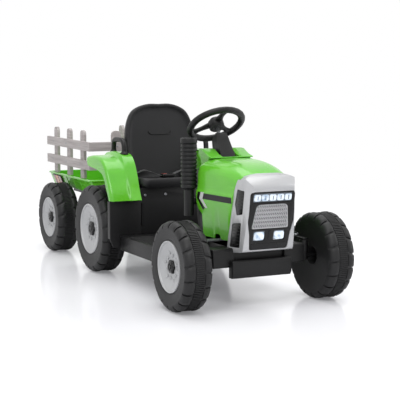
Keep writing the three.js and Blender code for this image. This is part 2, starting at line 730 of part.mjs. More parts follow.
// Green cowl: two humps beside the column, joined by a strip that laps over the hood.
function dashCowl() {
  const seat = hoodStation(HOOD_REAR_Y).crest;
  const lap = HOOD_REAR_Y - 13;
  const humps = [-1, 1].map((side) => {
    const [x0, x1] = side > 0 ? [COWL.inner, COWL.outer] : [-COWL.outer, -COWL.inner];
    return prismX(
      [
        [HOOD_REAR_Y + FIT, seat - 30], [DASH_REAR_Y, seat - 30], [DASH_REAR_Y + 12, seat - 6],
        [DASH_REAR_Y + 26, seat + 4], [DASH_REAR_Y + 20, seat + 22], [DASH_REAR_Y + 2, COWL.top],
        [HOOD_REAR_Y + 12, seat + 9], [lap, seat + 3], [lap, seat + FIT],
        [HOOD_REAR_Y + FIT, seat + FIT],
      ],
      x0,
      x1,
    );
  });
  const strip = box(-COWL.inner - 5, COWL.inner + 5, lap, HOOD_REAR_Y - 5, seat + FIT, seat + 3);
  const dash = hoodBody([DASH_FRONT_Y - 2, DASH_REAR_Y + FIT], DASH_INSET - FIT, 200);
  const collar = hoodBody([DASH_FRONT_Y - 2, HOOD_REAR_Y + 2 + FIT], WALL, 200);
  return cut(join(...humps, strip), dash, collar);
}

add(root, "dash_cowl", dashCowl(), green);

// ---- chassis ----
const TRAY_HALF = noseHalf(TRAY_FRONT_Y) - WALL - FIT;
const BEAM_TOP_Z = 136;
const SPINE_HALF = 58;
const CARRIER = {
  inner: 58,
  outer: 63,
  front: REAR_AXLE_Y - 46,
  rear: SEAT_BOX_REAR_Y - WALL - FIT,
  heights: [94, 150],
};

function chassis() {
  const dashSeat = box(-100, 100, DASH_FRONT_Y - FIT, -400, FLOOR_TOP_Z, TRAY_TOP_Z + 1);
  const tray = cut(
    box(-TRAY_HALF, TRAY_HALF, TRAY_FRONT_Y, -404, TRAY_BOTTOM_Z, TRAY_TOP_Z),
    box(
      WALL - TRAY_HALF,
      TRAY_HALF - WALL,
      TRAY_FRONT_Y + WALL,
      -404 - WALL,
      TRAY_BOTTOM_Z + 4,
      200,
    ),
    dashSeat,
  );
  const [beamFront, beamRear] = [FRONT_AXLE_Y - 10, FRONT_AXLE_Y + 10];
  const beam = box(-KINGPIN_X, KINGPIN_X, beamFront, beamRear, SLEEVE_BOTTOM_Z, BEAM_TOP_Z);
  const sleeves = [-1, 1].map((side) => {
    const x = side * KINGPIN_X;
    return rod([x, FRONT_AXLE_Y, SLEEVE_BOTTOM_Z], [x, FRONT_AXLE_Y, SLEEVE_TOP_Z], SLEEVE_R);
  });
  const kingpinHoles = [-1, 1].map((side) => {
    const x = side * KINGPIN_X;
    return rod([x, FRONT_AXLE_Y, 100], [x, FRONT_AXLE_Y, 180], KINGPIN_R + RUN);
  });
  const shaftBoss = rod(onShaft(SHAFT_END - 22), onShaft(SHAFT_END - 2), 13);
  const bossPost = box(-8, 8, FRONT_AXLE_Y - 10, FRONT_AXLE_Y + 10, TRAY_BOTTOM_Z + 2, 130);
  const shaftHole = rod(onShaft(SHAFT_END - 60), onShaft(SHAFT_END + 3), SHAFT_R + RUN);

  const footwell = box(
    -BOARD_HALF,
    BOARD_HALF,
    BOARD_FRONT_Y,
    BOARD_REAR_Y,
    BOARD_BOTTOM_Z,
    FLOOR_TOP_Z,
  );
  const footHollow = box(
    4 - BOARD_HALF,
    BOARD_HALF - 4,
    BOARD_FRONT_Y + 4,
    BOARD_REAR_Y - 4,
    BOARD_BOTTOM_Z - 1,
    FLOOR_TOP_Z - 4,
  );
  const spine = box(
    -SPINE_HALF,
    SPINE_HALF,
    BOARD_REAR_Y - 6,
    CARRIER.rear,
    BOARD_BOTTOM_Z + 8,
    SPINE_TOP_Z,
  );
  const spineHollow = box(
    WALL - SPINE_HALF,
    SPINE_HALF - WALL,
    BOARD_REAR_Y - 8,
    CARRIER.rear - WALL,
    BOARD_BOTTOM_Z,
    SPINE_TOP_Z - 4,
  );
  const carriers = [-1, 1].map((side) => {
    const [x0, x1] = side > 0 ? [CARRIER.inner, CARRIER.outer] : [-CARRIER.outer, -CARRIER.inner];
    const [low, high] = CARRIER.heights;
    return box(x0 - (side > 0 ? 2 : 0), x1 + (side < 0 ? 2 : 0), CARRIER.front, CARRIER.rear, low, high);
  });
  const axleHole = rod(
    [-100, REAR_AXLE_Y, REAR_WHEEL.radius],
    [100, REAR_AXLE_Y, REAR_WHEEL.radius],
    AXLE_R + FIT,
  );
  const hitchPlate = box(-24, 24, CARRIER.rear - 6, HITCH_Y + 14, HITCH_Z - PLATE, HITCH_Z);
  const hitchHole = rod([0, HITCH_Y, 80], [0, HITCH_Y, 120], HITCH_PIN_R + FIT);
  const body = join(
    tray, beam, ...sleeves, shaftBoss, bossPost, cut(footwell, footHollow), cut(spine, spineHollow),
    ...carriers, hitchPlate,
  );
  return cut(body, ...kingpinHoles, shaftHole, axleHole, hitchHole);
}

add(root, "chassis", chassis(), blackPlastic);

// ---- seat box, battery, gearboxes ----
const GUARD_OUTER_X = 205;

function seatBox() {
  const shell = cut(
    box(
      -SEAT_BOX_HALF,
      SEAT_BOX_HALF,
      SEAT_BOX_FRONT_Y,
      SEAT_BOX_REAR_Y,
      SPINE_TOP_Z + FIT,
      SEAT_BOX_TOP_Z,
    ),
    box(
      WALL - SEAT_BOX_HALF,
      SEAT_BOX_HALF - WALL,
      SEAT_BOX_FRONT_Y + WALL,
      SEAT_BOX_REAR_Y - WALL,
      100,
      SEAT_BOX_TOP_Z - WALL,
    ),
  );
  const guardOutline = [
    [SEAT_BOX_HALF - 4, BOARD_BOTTOM_Z + 8], [GUARD_OUTER_X - 10, BOARD_BOTTOM_Z + 8],
    [GUARD_OUTER_X, BOARD_BOTTOM_Z + 30], [GUARD_OUTER_X, 222], [SEAT_BOX_HALF - 4, 222],
  ];
  const guards = [-1, 1].flatMap((side) => {
    const outline = guardOutline.map(([x, z]) => [x * side, z]);
    const wall = prismY(outline, SEAT_BOX_FRONT_Y - 4, SEAT_BOX_FRONT_Y);
    const rim = [side * (GUARD_OUTER_X - 4), side * GUARD_OUTER_X];
    const [x0, x1] = side > 0 ? rim : rim.reverse();
    const edge = box(x0, x1, SEAT_BOX_FRONT_Y - 2, SEAT_BOX_FRONT_Y + 14, BOARD_BOTTOM_Z + 32, 222);
    return [wall, edge];
  });
  const axleWay = rod(
    [-SEAT_BOX_HALF - 1, REAR_AXLE_Y, REAR_WHEEL.radius],
    [SEAT_BOX_HALF + 1, REAR_AXLE_Y, REAR_WHEEL.radius],
    AXLE_R + 2,
  );
  return cut(join(shell, ...guards), axleWay);
}

function gearbox() {
  const wall = SEAT_BOX_HALF;
  const x0 = CARRIER.outer + FIT;
  const x1 = wall - WALL - 1;
  const y = REAR_AXLE_Y;
  const z = REAR_WHEEL.radius;
  const housing = prismX(roundedRect(y - 34, y + 40, z - 20, 190, 12), x0, x1);
  const drum = rod([x0, y, z], [x1, y, z], 16, 12);
  const motor = rod([x0 + 2, y - 22, 190], [x1 - 2, y - 22, 190], 19, 12);
  const bore = rod([x0 - 1, y, z], [x1 + 1, y, z], AXLE_R + RUN);
  return cut(join(housing, drum, motor), bore);
}

add(root, "seat_box", seatBox(), blackPlastic);
addPair("gearbox", gearbox(), blackPlastic);
add(root, "battery", box(-45, 45, -70, 5, SPINE_TOP_Z + FIT, SPINE_TOP_Z + 96), blackPlastic);

// ---- seat ----
const SEAT = { half: 112, front: -110, bottom: SEAT_BOX_TOP_Z + FIT, top: 494, cushion: 280, back: 16 };
const SEAT_LEAN = THREE.MathUtils.degToRad(8);
const BACK_FOOT = { y: -2, z: 268 }; // front face of the back, at the cushion

function seatBackOutline() {
  const shape = new THREE.Shape();
  const height = SEAT.top - BACK_FOOT.z;
  shape.moveTo(-92, 0);
  shape.lineTo(92, 0);
  shape.quadraticCurveTo(109, 40, 112, 110);
  shape.quadraticCurveTo(112, 182, 86, 208);
  shape.quadraticCurveTo(62, height, 0, height);
  shape.quadraticCurveTo(-62, height, -86, 208);
  shape.quadraticCurveTo(-112, 182, -112, 110);
  shape.quadraticCurveTo(-109, 40, -92, 0);
  return shape;
}

function seat() {
  const basis = new THREE.Matrix4()
    .makeTranslation(0, BACK_FOOT.y, BACK_FOOT.z)
    .multiply(new THREE.Matrix4().makeRotationX(-SEAT_LEAN))
    .multiply(new THREE.Matrix4().set(1, 0, 0, 0, 0, 0, -1, SEAT.back, 0, 1, 0, 0, 0, 0, 0, 1));
  const back = place(extrude(seatBackOutline(), SEAT.back), basis);
  const cushionSide = new THREE.Shape();
  cushionSide.moveTo(SEAT.front + 10, SEAT.bottom);
  cushionSide.lineTo(24, SEAT.bottom);
  cushionSide.lineTo(24, SEAT.cushion + 18);
  cushionSide.lineTo(4, SEAT.cushion);
  cushionSide.lineTo(-60, SEAT.cushion - 3);
  cushionSide.quadraticCurveTo(-92, SEAT.cushion + 6, SEAT.front + 6, SEAT.cushion - 2);
  cushionSide.quadraticCurveTo(SEAT.front - 2, SEAT.cushion - 12, SEAT.front + 10, SEAT.bottom);
  const cushion = prismX(cushionSide, -SEAT.half, SEAT.half);
  const plan = prismZ(roundedRect(-SEAT.half, SEAT.half, SEAT.front - 4, 60, 30), 200, 600);
  const under = box(-98, 98, SEAT.front + 22, 16, SEAT.bottom - 5, SEAT.cushion - 9);
  return cut(join(cushion.intersect(plan), back), under);
}

add(root, "seat", seat(), blackPlastic);

// Lap belt lying folded on the cushion: two webbing ends and the buckle, in one band.
function seatBelt() {
  const z = SEAT.cushion;
  const left = prismZ([[14, -44], [98, -16], [98, -6], [70, -6], [8, -22]], z, z + 3);
  const right = prismZ([[-98, -20], [-16, -46], [-8, -24], [-80, -6], [-98, -6]], z, z + 3);
  const buckle = prismZ(roundedRect(-22, 20, -48, -20, 6), z, z + 10);
  return join(left, right, buckle);
}

add(root, "seat_belt", seatBelt(), webbing);

// ---- fenders and grab handles ----
// The fender's outer line, front to rear, lowered by drop for the outer strip.
function fenderLine(drop) {
  return [
    [-112, 225], [-98 - drop * 0.6, 252], [-80 - drop * 0.6, 295 - drop],
    [-62 - drop * 0.4, 326 - drop], [-42, FENDER_TOP_Z - 8 - drop], [-14, FENDER_TOP_Z - drop],
    [34, FENDER_TOP_Z + 3 - drop], [FENDER_REAR_Y, FENDER_TOP_Z - 3 - drop],
  ];
}

function fender() {
  const inner = prismX(ribbon(fenderLine(0), WALL), FENDER_INNER_X, FENDER_STEP_X);
  const line = fenderLine(FENDER_STEP_DROP);
  const outer = prismX(ribbon(line, WALL), FENDER_STEP_X - 6, FENDER_OUTER_X);
  const stepOutline = [...ribbon(fenderLine(0), FENDER_STEP_DROP + WALL)];
  const step = prismX(stepOutline, FENDER_STEP_X - WALL, FENDER_STEP_X);
  const skirtOutline = [
    ...line, [FENDER_REAR_Y - 6, 313], [10, 309], [-29, 303], [-49, 293], [-64, 279],
    [-75, 258], [-88, 238], [-96, 225],
  ];
  const skirt = prismX(skirtOutline.slice().reverse(), FENDER_OUTER_X - WALL, FENDER_OUTER_X);
  const innerWall = prismX(
    [
      ...fenderLine(0), [FENDER_REAR_Y - 4, 262], [-60, 262], [-96, 225],
    ].reverse(),
    FENDER_INNER_X,
    FENDER_INNER_X + WALL,
  );
  return join(inner, outer, step, skirt, innerWall);
}

addPair("fender", fender(), green);

const HANDLE = { x: 131, front: -28, rear: 62, top: 396, width: 14, bar: 14 };

function grabHandle() {
  const { x, front, rear, top, width, bar } = HANDLE;
  const foot = FENDER_TOP_Z - 12;
  const crown = [...fenderLine(-FIT), [FENDER_REAR_Y, FLOOR_TOP_Z], [-112, FLOOR_TOP_Z]];
  return cut(
    prismX(roundedRect(front, rear, foot - 30, top, 26), x - width / 2, x + width / 2),
    prismX(roundedRect(front + bar, rear - bar, foot - 40, top - bar, 14), x - 20, x + 20),
    prismX(crown.reverse(), x - 20, x + 20),
  );
}

addPair("grab_handle", grabHandle(), blackPlastic);

// ---- pedal ----
const PEDAL = { x: 58, hingeY: -262, half: 28, length: 82 };
const PEDAL_REST = THREE.MathUtils.degToRad(14);

function pedal() {
  const plate = box(-PEDAL.half, PEDAL.half, -PEDAL.length, 0, 0, 6);
  const tube = rod([-PEDAL.half, -2, 2], [PEDAL.half, -2, 2], 5, 12);
  return join(plate, tube);
}

const pedalMesh = add(root, "pedal", pedal(), blackPlastic);
pedalMesh.position.set(-PEDAL.x, PEDAL.hingeY, FLOOR_TOP_Z + 3 + FIT);
pedalMesh.rotation.x = -PEDAL_REST;

// ---- trailer ----
const DRAWBAR_HALF = 20;
const TONGUE_Z = HITCH_Z + FIT;

function trailerFrame() {
  const tongue = box(-16, 16, HITCH_Y, HITCH_Y + 60, TONGUE_Z, TONGUE_Z + PLATE);
  const eye = rod([0, HITCH_Y, TONGUE_Z], [0, HITCH_Y, TONGUE_Z + PLATE], 16, 16);
  const bar = box(-DRAWBAR_HALF, DRAWBAR_HALF, HITCH_Y + 45, TUB.rear - 90, TONGUE_Z, TONGUE_Z + 20);
  const rise = box(-70, 70, TUB.front + 50, TUB.rear - 90, TUB.bottom - 20, TUB.bottom - FIT);
  const riseHollow = box(-66, 66, TUB.front + 54, TUB.rear - 94, TUB.bottom - 16, TUB.bottom + 5);
  const posts = [TUB.front + 50, TRAILER_AXLE_Y - 12, TUB.rear - 94].map((y) =>
    box(-DRAWBAR_HALF, DRAWBAR_HALF, y, y + (y > 400 && y < 500 ? 24 : 4), TONGUE_Z, TUB.bottom - 18),
  );
  const carrier = box(-100, 100, TRAILER_AXLE_Y - 12, TRAILER_AXLE_Y + 12, TONGUE_Z, TONGUE_Z + 24);
  const axleWay = rod(
    [-110, TRAILER_AXLE_Y, TRAILER_WHEEL.radius],
    [110, TRAILER_AXLE_Y, TRAILER_WHEEL.radius],
    AXLE_R + FIT,
  );
  const pinHole = rod([0, HITCH_Y, 80], [0, HITCH_Y, 130], HITCH_PIN_R + FIT);
  return cut(join(tongue, eye, bar, cut(rise, riseHollow), ...posts, carrier), axleWay, pinHole);
}

function tubSection(y, inset, bottom) {
  const { half, floorHalf, top } = TUB;
  const flare = TUB_RIM;
  const rise = inset > 0 ? 2 : 0;
  return [
    [floorHalf - inset, y, bottom], [half - flare - inset, y, top - 6],
    [half - flare - inset, y, top + rise], [flare + inset - half, y, top + rise],
    [flare + inset - half, y, top - 6], [inset - floorHalf, y, bottom],
  ];
}

const TUB_RIM = 4;

function trailerTub() {
  const { front, rear, half, top, bottom } = TUB;
  const outer = loft([tubSection(front + 3, 0, bottom), tubSection(rear - 3, 0, bottom)]);
  const inner = loft([
    tubSection(front + 3 + WALL, WALL, bottom + WALL),
    tubSection(rear - 3 - WALL, WALL, bottom + WALL),
  ]);
  const rim = cut(
    prismZ(roundedRect(-half, half, front, rear, 10), top - 5, top),
    box(TUB_RIM + WALL - half, half - TUB_RIM - WALL, front + 6, rear - 6, top - 8, top + 2),
  );
  return cut(join(outer, rim), inner);
}

add(root, "trailer_tub", trailerTub(), green);
add(root, "trailer_frame", trailerFrame(), blackPlastic);

function hitchPin() {
  const top = TONGUE_Z + PLATE;
  return join(
    rod([0, HITCH_Y, HITCH_Z - PLATE - 12], [0, HITCH_Y, top + 2], HITCH_PIN_R),
    rod([0, HITCH_Y, top + FIT], [0, HITCH_Y, top + 6], 10),
    rod([0, HITCH_Y, HITCH_Z - PLATE - 6], [0, HITCH_Y, HITCH_Z - PLATE - FIT], 8),
  );
}

add(root, "hitch_pin", hitchPin(), steel);

// A fence panel: boards along it and posts on its inner side, with rounded tops.
function postOutline(centre, foot) {
  const half = FENCE.postWidth / 2;
  const shape = new THREE.Shape();
  shape.moveTo(centre - half, foot);
  shape.lineTo(centre + half, foot);
  shape.lineTo(centre + half, FENCE.top - half);
  shape.quadraticCurveTo(centre + half, FENCE.top, centre, FENCE.top);
  shape.quadraticCurveTo(centre - half, FENCE.top, centre - half, FENCE.top - half);
  return shape;
}

const POST_FOOT_Z = TUB.top + FIT;
const SIDE_POSTS = [88, 214, 340].map((along) => TUB.front + along);

function sideFence() {
  const outerX = TUB.half + 3;
  const face = outerX - FENCE.board;
  const posts = SIDE_POSTS.map((y) =>
    prismX(postOutline(y, POST_FOOT_Z), face - FENCE.board + 1, face + 1),
  );
  const rails = [FENCE.topRail, FENCE.lowRail].map((z) =>
    box(face, outerX, TUB.front + FENCE.board + FIT, TUB.rear, z, z + FENCE.railHeight),
  );
  return join(...posts, ...rails);
}

function frontFence() {
  const outerX = TUB.half + 3;
  const y = TUB.front;
  const posts = [-36, 36].map((x) =>
    prismY(postOutline(x, POST_FOOT_Z), y + FENCE.board - 1, y + FENCE.board * 2 - 1),
  );
  const rails = [FENCE.topRail, FENCE.lowRail].map((z) =>
    box(-outerX, outerX, y, y + FENCE.board, z, z + FENCE.railHeight),
  );
  return join(...posts, ...rails);
}

addPair("fence", sideFence(), fenceGrey);
add(root, "fence_front", frontFence(), fenceGrey);

function tailLight() {
  const slope = (TUB.half - TUB_RIM - TUB.floorHalf) / (TUB.top - 6 - TUB.bottom);
  const wallX = (z) => TUB.floorHalf + (z - TUB.bottom) * slope;
  const [low, high] = [208, 240];
  const section = [
    [wallX(low) + FIT, low], [wallX(low) + 4, low], [wallX(high) + 4, high], [wallX(high) + FIT, high],
  ];
  const rear = TUB.rear - 40;
  const body = prismY(section, rear - 83, rear);
  const side = [[rear - 87, 242], [rear - 83, 206], [rear - 16, 206], [rear + 2, 242]];
  const taper = prismX(side.reverse(), TUB.floorHalf - 20, TUB.half + 12);
  return body.intersect(taper);
}

addPair("tail_light", tailLight(), tailRed);

export default root;
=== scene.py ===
"""Visible pieces and finishes of a child's ride-on tractor with a two-wheel trailer.

The sizes held by the classes are millimetres in the frame's axes: the front faces -Y, +Z is up
and +X is the driver's left. Meshes are written in metres, and every piece keeps its object at
the origin with its place in its mesh.
"""

import json
import logging
import math
from collections.abc import Callable, Sequence
from dataclasses import dataclass, field
from enum import Enum

import bmesh
import bpy
from mathutils import Matrix, Vector

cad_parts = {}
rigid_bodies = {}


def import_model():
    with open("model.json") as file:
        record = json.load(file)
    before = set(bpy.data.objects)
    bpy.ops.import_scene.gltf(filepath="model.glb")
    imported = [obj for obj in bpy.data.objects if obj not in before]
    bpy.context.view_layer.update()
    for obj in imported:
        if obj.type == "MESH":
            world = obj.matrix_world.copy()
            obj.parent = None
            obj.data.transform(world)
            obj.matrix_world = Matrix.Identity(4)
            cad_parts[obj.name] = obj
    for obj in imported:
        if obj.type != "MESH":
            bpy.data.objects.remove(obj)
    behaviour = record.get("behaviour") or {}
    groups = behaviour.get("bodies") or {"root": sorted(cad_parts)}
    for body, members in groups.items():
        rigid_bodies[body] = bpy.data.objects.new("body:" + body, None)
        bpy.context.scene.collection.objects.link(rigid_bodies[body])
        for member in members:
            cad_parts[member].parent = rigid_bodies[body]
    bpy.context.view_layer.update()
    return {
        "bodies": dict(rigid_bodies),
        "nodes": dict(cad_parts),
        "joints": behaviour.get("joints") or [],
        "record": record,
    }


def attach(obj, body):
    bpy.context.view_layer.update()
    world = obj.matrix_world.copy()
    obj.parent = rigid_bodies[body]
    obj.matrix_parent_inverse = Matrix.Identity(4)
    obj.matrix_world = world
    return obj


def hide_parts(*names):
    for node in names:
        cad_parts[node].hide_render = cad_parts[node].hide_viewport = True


LOG = logging.getLogger("tractor")
MM = 0.001
MERGE = 1e-6  # metres, for drawn meshes
WELD = 2e-6  # metres, after a cut and for copies of nodes
CREASE = 35.0  # degrees
UNIT = (0.0, 1.0)
SCRATCH_DEPTH = -0.06  # share of the relief
SCRATCH_ROUGHNESS = 0.05

Flat = tuple[float, float]
Point = tuple[float, float, float]
Colour = tuple[float, float, float]
Thing = bpy.types.Object
Mesh = bpy.types.Mesh
Material = bpy.types.Material
Tree = bpy.types.NodeTree
Node = bpy.types.Node
Socket = bpy.types.NodeSocket


class Slot(Enum):
    """Material slots of the record."""

    SHELL = "green_shell"
    BODY = "black_body"
    SEAT = "black_seat"
    TYRE = "tyre_black"
    TRIM = "silver_trim"
    RIM = "rim_grey"
    MESH = "mesh_grey"
    FENCE = "fence_grey"
    LAMP = "lamp_clear"
    TAIL = "tail_red"
    STEEL = "steel"
    WEBBING = "webbing"
    MOTOR = "motor_case"


class Body(Enum):
    """Bodies that more than one class builds on."""

    TRACTOR = "tractor"
    STEERING = "steering"
    HORN = "horn"
    TRAILER = "trailer"
    PEDAL = "pedal"


class Axis(Enum):
    """Axis that an outline is drawn across, with the order of its two coordinates."""

    X = "x"
    Y = "y"
    Z = "z"


class Side(Enum):
    """Side of the train, by the sign of X."""

    LEFT = 1
    RIGHT = -1

    @property
    def label(self) -> str:
        """Side's name as the frame's nodes write it."""
        return self.name.lower()


def linear(red: int, green: int, blue: int) -> Colour:
    """Turns an 8-bit display colour into linear values.

    Args:
        red: Red from 0 to 255.
        green: Green from 0 to 255.
        blue: Blue from 0 to 255.

    Returns:
        The three linear values.
    """

    def channel(value: int) -> float:
        """One channel's linear value."""
        share = value / 255
        return share / 12.92 if share <= 0.04045 else ((share + 0.055) / 1.055) ** 2.4

    return channel(red), channel(green), channel(blue)


def mix(a: float, b: float, share: float) -> float:
    """Value that lies share of the way from a to b."""
    return a + (b - a) * share


def smooth(low: float, high: float, value: float) -> float:
    """Soft step from 0 at low to 1 at high."""
    t = min(1.0, max(0.0, (value - low) / (high - low)))
    return t * t * (3 - 2 * t)


def spline(points: Sequence[tuple[float, ...]], per_span: int) -> list[tuple[float, ...]]:
    """Runs a smooth curve through points of any number of coordinates.

    Args:
        points: Points that the curve passes through.
        per_span: Steps between two neighbouring points.

    Returns:
        The points of the curve, both ends among them.
    """
    curve: list[tuple[float, ...]] = []
    last = len(points) - 1
    for i in range(last):
        before, a = points[max(i - 1, 0)], points[i]
        b, after = points[i + 1], points[min(i + 2, last)]
        for step in range(per_span):
            t = step / per_span
            curve.append(
                tuple(
                    0.5
                    * (
                        2 * q
                        + (r - p) * t
                        + (2 * p - 5 * q + 4 * r - s) * t * t
                        + (3 * q - p - 3 * r + s) * t**3
                    )
                    for p, q, r, s in zip(before, a, b, after)
                )
            )
    curve.append(tuple(points[last]))
    return curve


def rounded(
    outline: Sequence[Flat], radius: float, steps: int = 5, closed: bool = True
) -> list[Flat]:
    """Rounds the corners of a flat outline.

    Args:
        outline: Corners in order.
        radius: Distance from each corner at which its curve starts.
        steps: Steps round each corner.
        closed: Whether the last corner joins the first; an open line keeps its two ends.

    Returns:
        The outline with each rounded corner as steps + 1 points.
    """
    count = len(outline)
    line: list[Flat] = []
    for i, corner in enumerate(outline):
        if not closed and i in (0, count - 1):
            line.append(corner)
            continue
        before, after = outline[i - 1], outline[(i + 1) % count]
        start = _towards(corner, before, radius)
        end = _towards(corner, after, radius)
        for step in range(steps + 1):
            t = step / steps
            line.append(
                tuple(
                    (1 - t) ** 2 * start[k] + 2 * t * (1 - t) * corner[k] + t * t * end[k]
                    for k in range(2)
                )
            )
    return line


def _towards(corner: Flat, other: Flat, distance: float) -> Flat:
    """Point at a distance from a corner towards another, at most 45% of the way.

    Args:
        corner: Corner to start from.
        other: Point to go towards.
        distance: Distance from the corner.

    Returns:
        The point.
    """
    length = math.dist(corner, other)
    share = min(distance / length, 0.45) if length else 0.0
    return mix(corner[0], other[0], share), mix(corner[1], other[1], share)


def rectangle(a0: float, a1: float, b0: float, b1: float) -> list[Flat]:
    """Corners of a rectangle, anticlockwise."""
    return [(a0, b0), (a1, b0), (a1, b1), (a0, b1)]


def ellipse(a: float, b: float, steps: int, power: float = 1.0) -> list[Flat]:
    """Outline of an ellipse, squarer as power falls below 1.

    Args:
        a: Half width.
        b: Half height.
        steps: Number of points.
        power: Exponent on the cosine and sine.

    Returns:
        The points, anticlockwise.
    """
    line: list[Flat] = []
    for i in range(steps):
        angle = math.tau * i / steps
        c, s = math.cos(angle), math.sin(angle)
        line.append(
            (math.copysign(abs(c) ** power, c) * a, math.copysign(abs(s) ** power, s) * b)
        )
    return line


@dataclass
class Draft:
    """Points in millimetres and the faces between them, made an object when complete."""

    points: list[Point] = field(default_factory=list)
    faces: list[tuple[int, ...]] = field(default_factory=list)

    def sheet(
        self,
        rows: Sequence[Sequence[Point]],
        wrap: bool = False,
        loop: bool = False,
        caps: bool = False,
    ) -> "Draft":
        """Adds four-sided faces between rows of points.

        Args:
            rows: Rows with the same number of points each.
            wrap: Joins each row's last point to its first.
            loop: Joins the last row to the first.
            caps: Closes the first and the last row with a face each.

        Returns:
            The draft itself.
        """
        start, width, count = len(self.points), len(rows[0]), len(rows)
        for row in rows:
            self.points.extend(tuple(point) for point in row)
        for r in range(count if loop else count - 1):
            for c in range(width if wrap else width - 1):
                here, there = start + r * width, start + ((r + 1) % count) * width
                following = (c + 1) % width
                self.faces.append((here + c, here + following, there + following, there + c))
        if caps:
            self.faces.append(tuple(range(start + width - 1, start - 1, -1)))
            self.faces.append(tuple(range(start + (count - 1) * width, start + count * width)))
        return self

    def lathe(
        self, profile: Sequence[Flat], steps: int, centre: Point = (0, 0, 0), axis: Axis = Axis.X
    ) -> "Draft":
        """Turns a profile of (radius, along) points about an axis through the centre.

        Args:
            profile: Points from one pole to the other, or a closed ring that avoids the axis.
            steps: Steps round the axis.
            centre: Point on the axis where along is 0.
            axis: Axis of the turn, X or Z.

        Returns:
            The draft itself.
        """
        rows: list[list[Point]] = []
        cx, cy, cz = centre
        for i in range(steps):
            c, s = math.cos(math.tau * i / steps), math.sin(math.tau * i / steps)
            if axis is Axis.X:
                rows.append([(cx + along, cy + r * c, cz + r * s) for r, along in profile])
            else:
                rows.append([(cx + r * c, cy + r * s, cz + along) for r, along in profile])
        return self.sheet(rows, wrap=profile[0][0] > 0, loop=True)

    def prism(self, outline: Sequence[Flat], axis: Axis, low: float, high: float) -> "Draft":
        """Adds a closed prism.

        Args:
            outline: Corners as (y, z) across X, (x, z) across Y or (x, y) across Z.
            axis: Axis that the prism runs along.
            low: Lower end on that axis.
            high: Higher end.

        Returns:
            The draft itself.
        """
        place: dict[Axis, Callable[[float, float, float], Point]] = {
            Axis.X: lambda a, b, d: (d, a, b),
            Axis.Y: lambda a, b, d: (a, d, b),
            Axis.Z: lambda a, b, d: (a, b, d),
        }
        rows = [[place[axis](a, b, end) for a, b in outline] for end in (low, high)]
        return self.sheet(rows, wrap=True, caps=True)

    def box(self, low: Point, high: Point) -> "Draft":
        """Adds a box between two corners."""
        return self.prism(rectangle(low[0], high[0], low[1], high[1]), Axis.Z, low[2], high[2])

    def sweep(
        self, path: Sequence[Point], section: Sequence[Flat], side: Point | Sequence[Point]
    ) -> "Draft":
        """Sweeps a closed section along a path.

        Args:
            path: Points of the path.
            section: Section as (along side, along the path's normal) points.
            side: Direction of the section's first coordinate, or one for each point.

        Returns:
            The draft itself.
        """
        rows: list[list[Point]] = []
        last = len(path) - 1
        for i, point in enumerate(path):
            along = Vector(path[min(i + 1, last)]) - Vector(path[max(i - 1, 0)])
            given = side if isinstance(side[0], (int, float)) else side[i]
            across = Vector(given).normalized()
            up = across.cross(along).normalized()
            across = along.cross(up).normalized()
            rows.append([tuple(Vector(point) + across * a + up * b) for a, b in section])
        return self.sheet(rows, wrap=True, caps=True)

    def dish(
        self, outline: Sequence[Point], centre: Point, rings: Sequence[tuple[float, Point]]
    ) -> "Draft":
        """Fills an outline with rings that shrink towards a centre.

        Args:
            outline: Closed outline.
            centre: Point that the rings shrink to.
            rings: Share of the outline's size and shift of each ring.

        Returns:
            The draft itself.
        """
        rows = [
            [
                tuple(mix(centre[k], point[k], share) + shift[k] for k in range(3))
                for point in outline
            ]
            for share, shift in rings
        ]
        return self.sheet(rows, wrap=True)

    def moved(self, matrix: Matrix) -> "Draft":
        """Moves every point by a matrix in millimetres."""
        self.points = [tuple(matrix @ Vector(point)) for point in self.points]
        return self

    def bent(self, rule: Callable[[Point], Point]) -> "Draft":
        """Moves every point by a rule."""
        self.points = [rule(point) for point in self.points]
        return self

    def taken(self, other: "Draft") -> "Draft":
        """Adds another draft's points and faces.

        Args:
            other: Draft to add.

        Returns:
            The draft itself.
        """
        start = len(self.points)
        self.points.extend(other.points)
        self.faces.extend(tuple(start + i for i in face) for face in other.faces)
        return self

    def to_object(self, name: str, crease: float = CREASE) -> Thing:
        """Makes the draft an object with clean outward faces.

        Args:
            name: Name of the object.
            crease: Angle in degrees above which an edge stays sharp.

        Returns:
            The object, at the origin.
        """
        mesh = bpy.data.meshes.new(name)
        mesh.from_pydata([Vector(point) * MM for point in self.points], [], self.faces)
        clean(mesh)
        return shown(name, mesh, crease)


def clean(mesh: Mesh, merge: float = MERGE) -> None:
    """Merges doubled points and turns faces outwards.

    Args:
        mesh: Mesh to clean.
        merge: Distance in metres below which points merge.
    """
    work = bmesh.new()
    work.from_mesh(mesh)
    bmesh.ops.remove_doubles(work, verts=work.verts, dist=merge)
    bmesh.ops.dissolve_degenerate(work, dist=merge, edges=work.edges)
    bmesh.ops.recalc_face_normals(work, faces=work.faces)
    work.to_mesh(mesh)
    work.free()


def shade(mesh: Mesh, crease: float) -> None:
    """Shades a mesh smooth, but keeps its sharp edges."""
    mesh.shade_smooth()
    mesh.set_sharp_from_angle(angle=math.radians(crease))


def linked(name: str, data: bpy.types.ID) -> Thing:
    """Links new data into the scene as an object.

    Args:
        name: Name of the object.
        data: Its mesh, lamp or camera.

    Returns:
        The object, at the origin.
    """
    thing = bpy.data.objects.new(name, data)
    bpy.context.scene.collection.objects.link(thing)
    return thing


def shown(name: str, mesh: Mesh, crease: float = CREASE) -> Thing:
    """Links a mesh into the scene as an object at the origin.

    Args:
        name: Name of the object.
        mesh: Its mesh.
        crease: Angle in degrees above which an edge stays sharp.

    Returns:
        The object.
    """
    shade(mesh, crease)
    return linked(name, mesh)


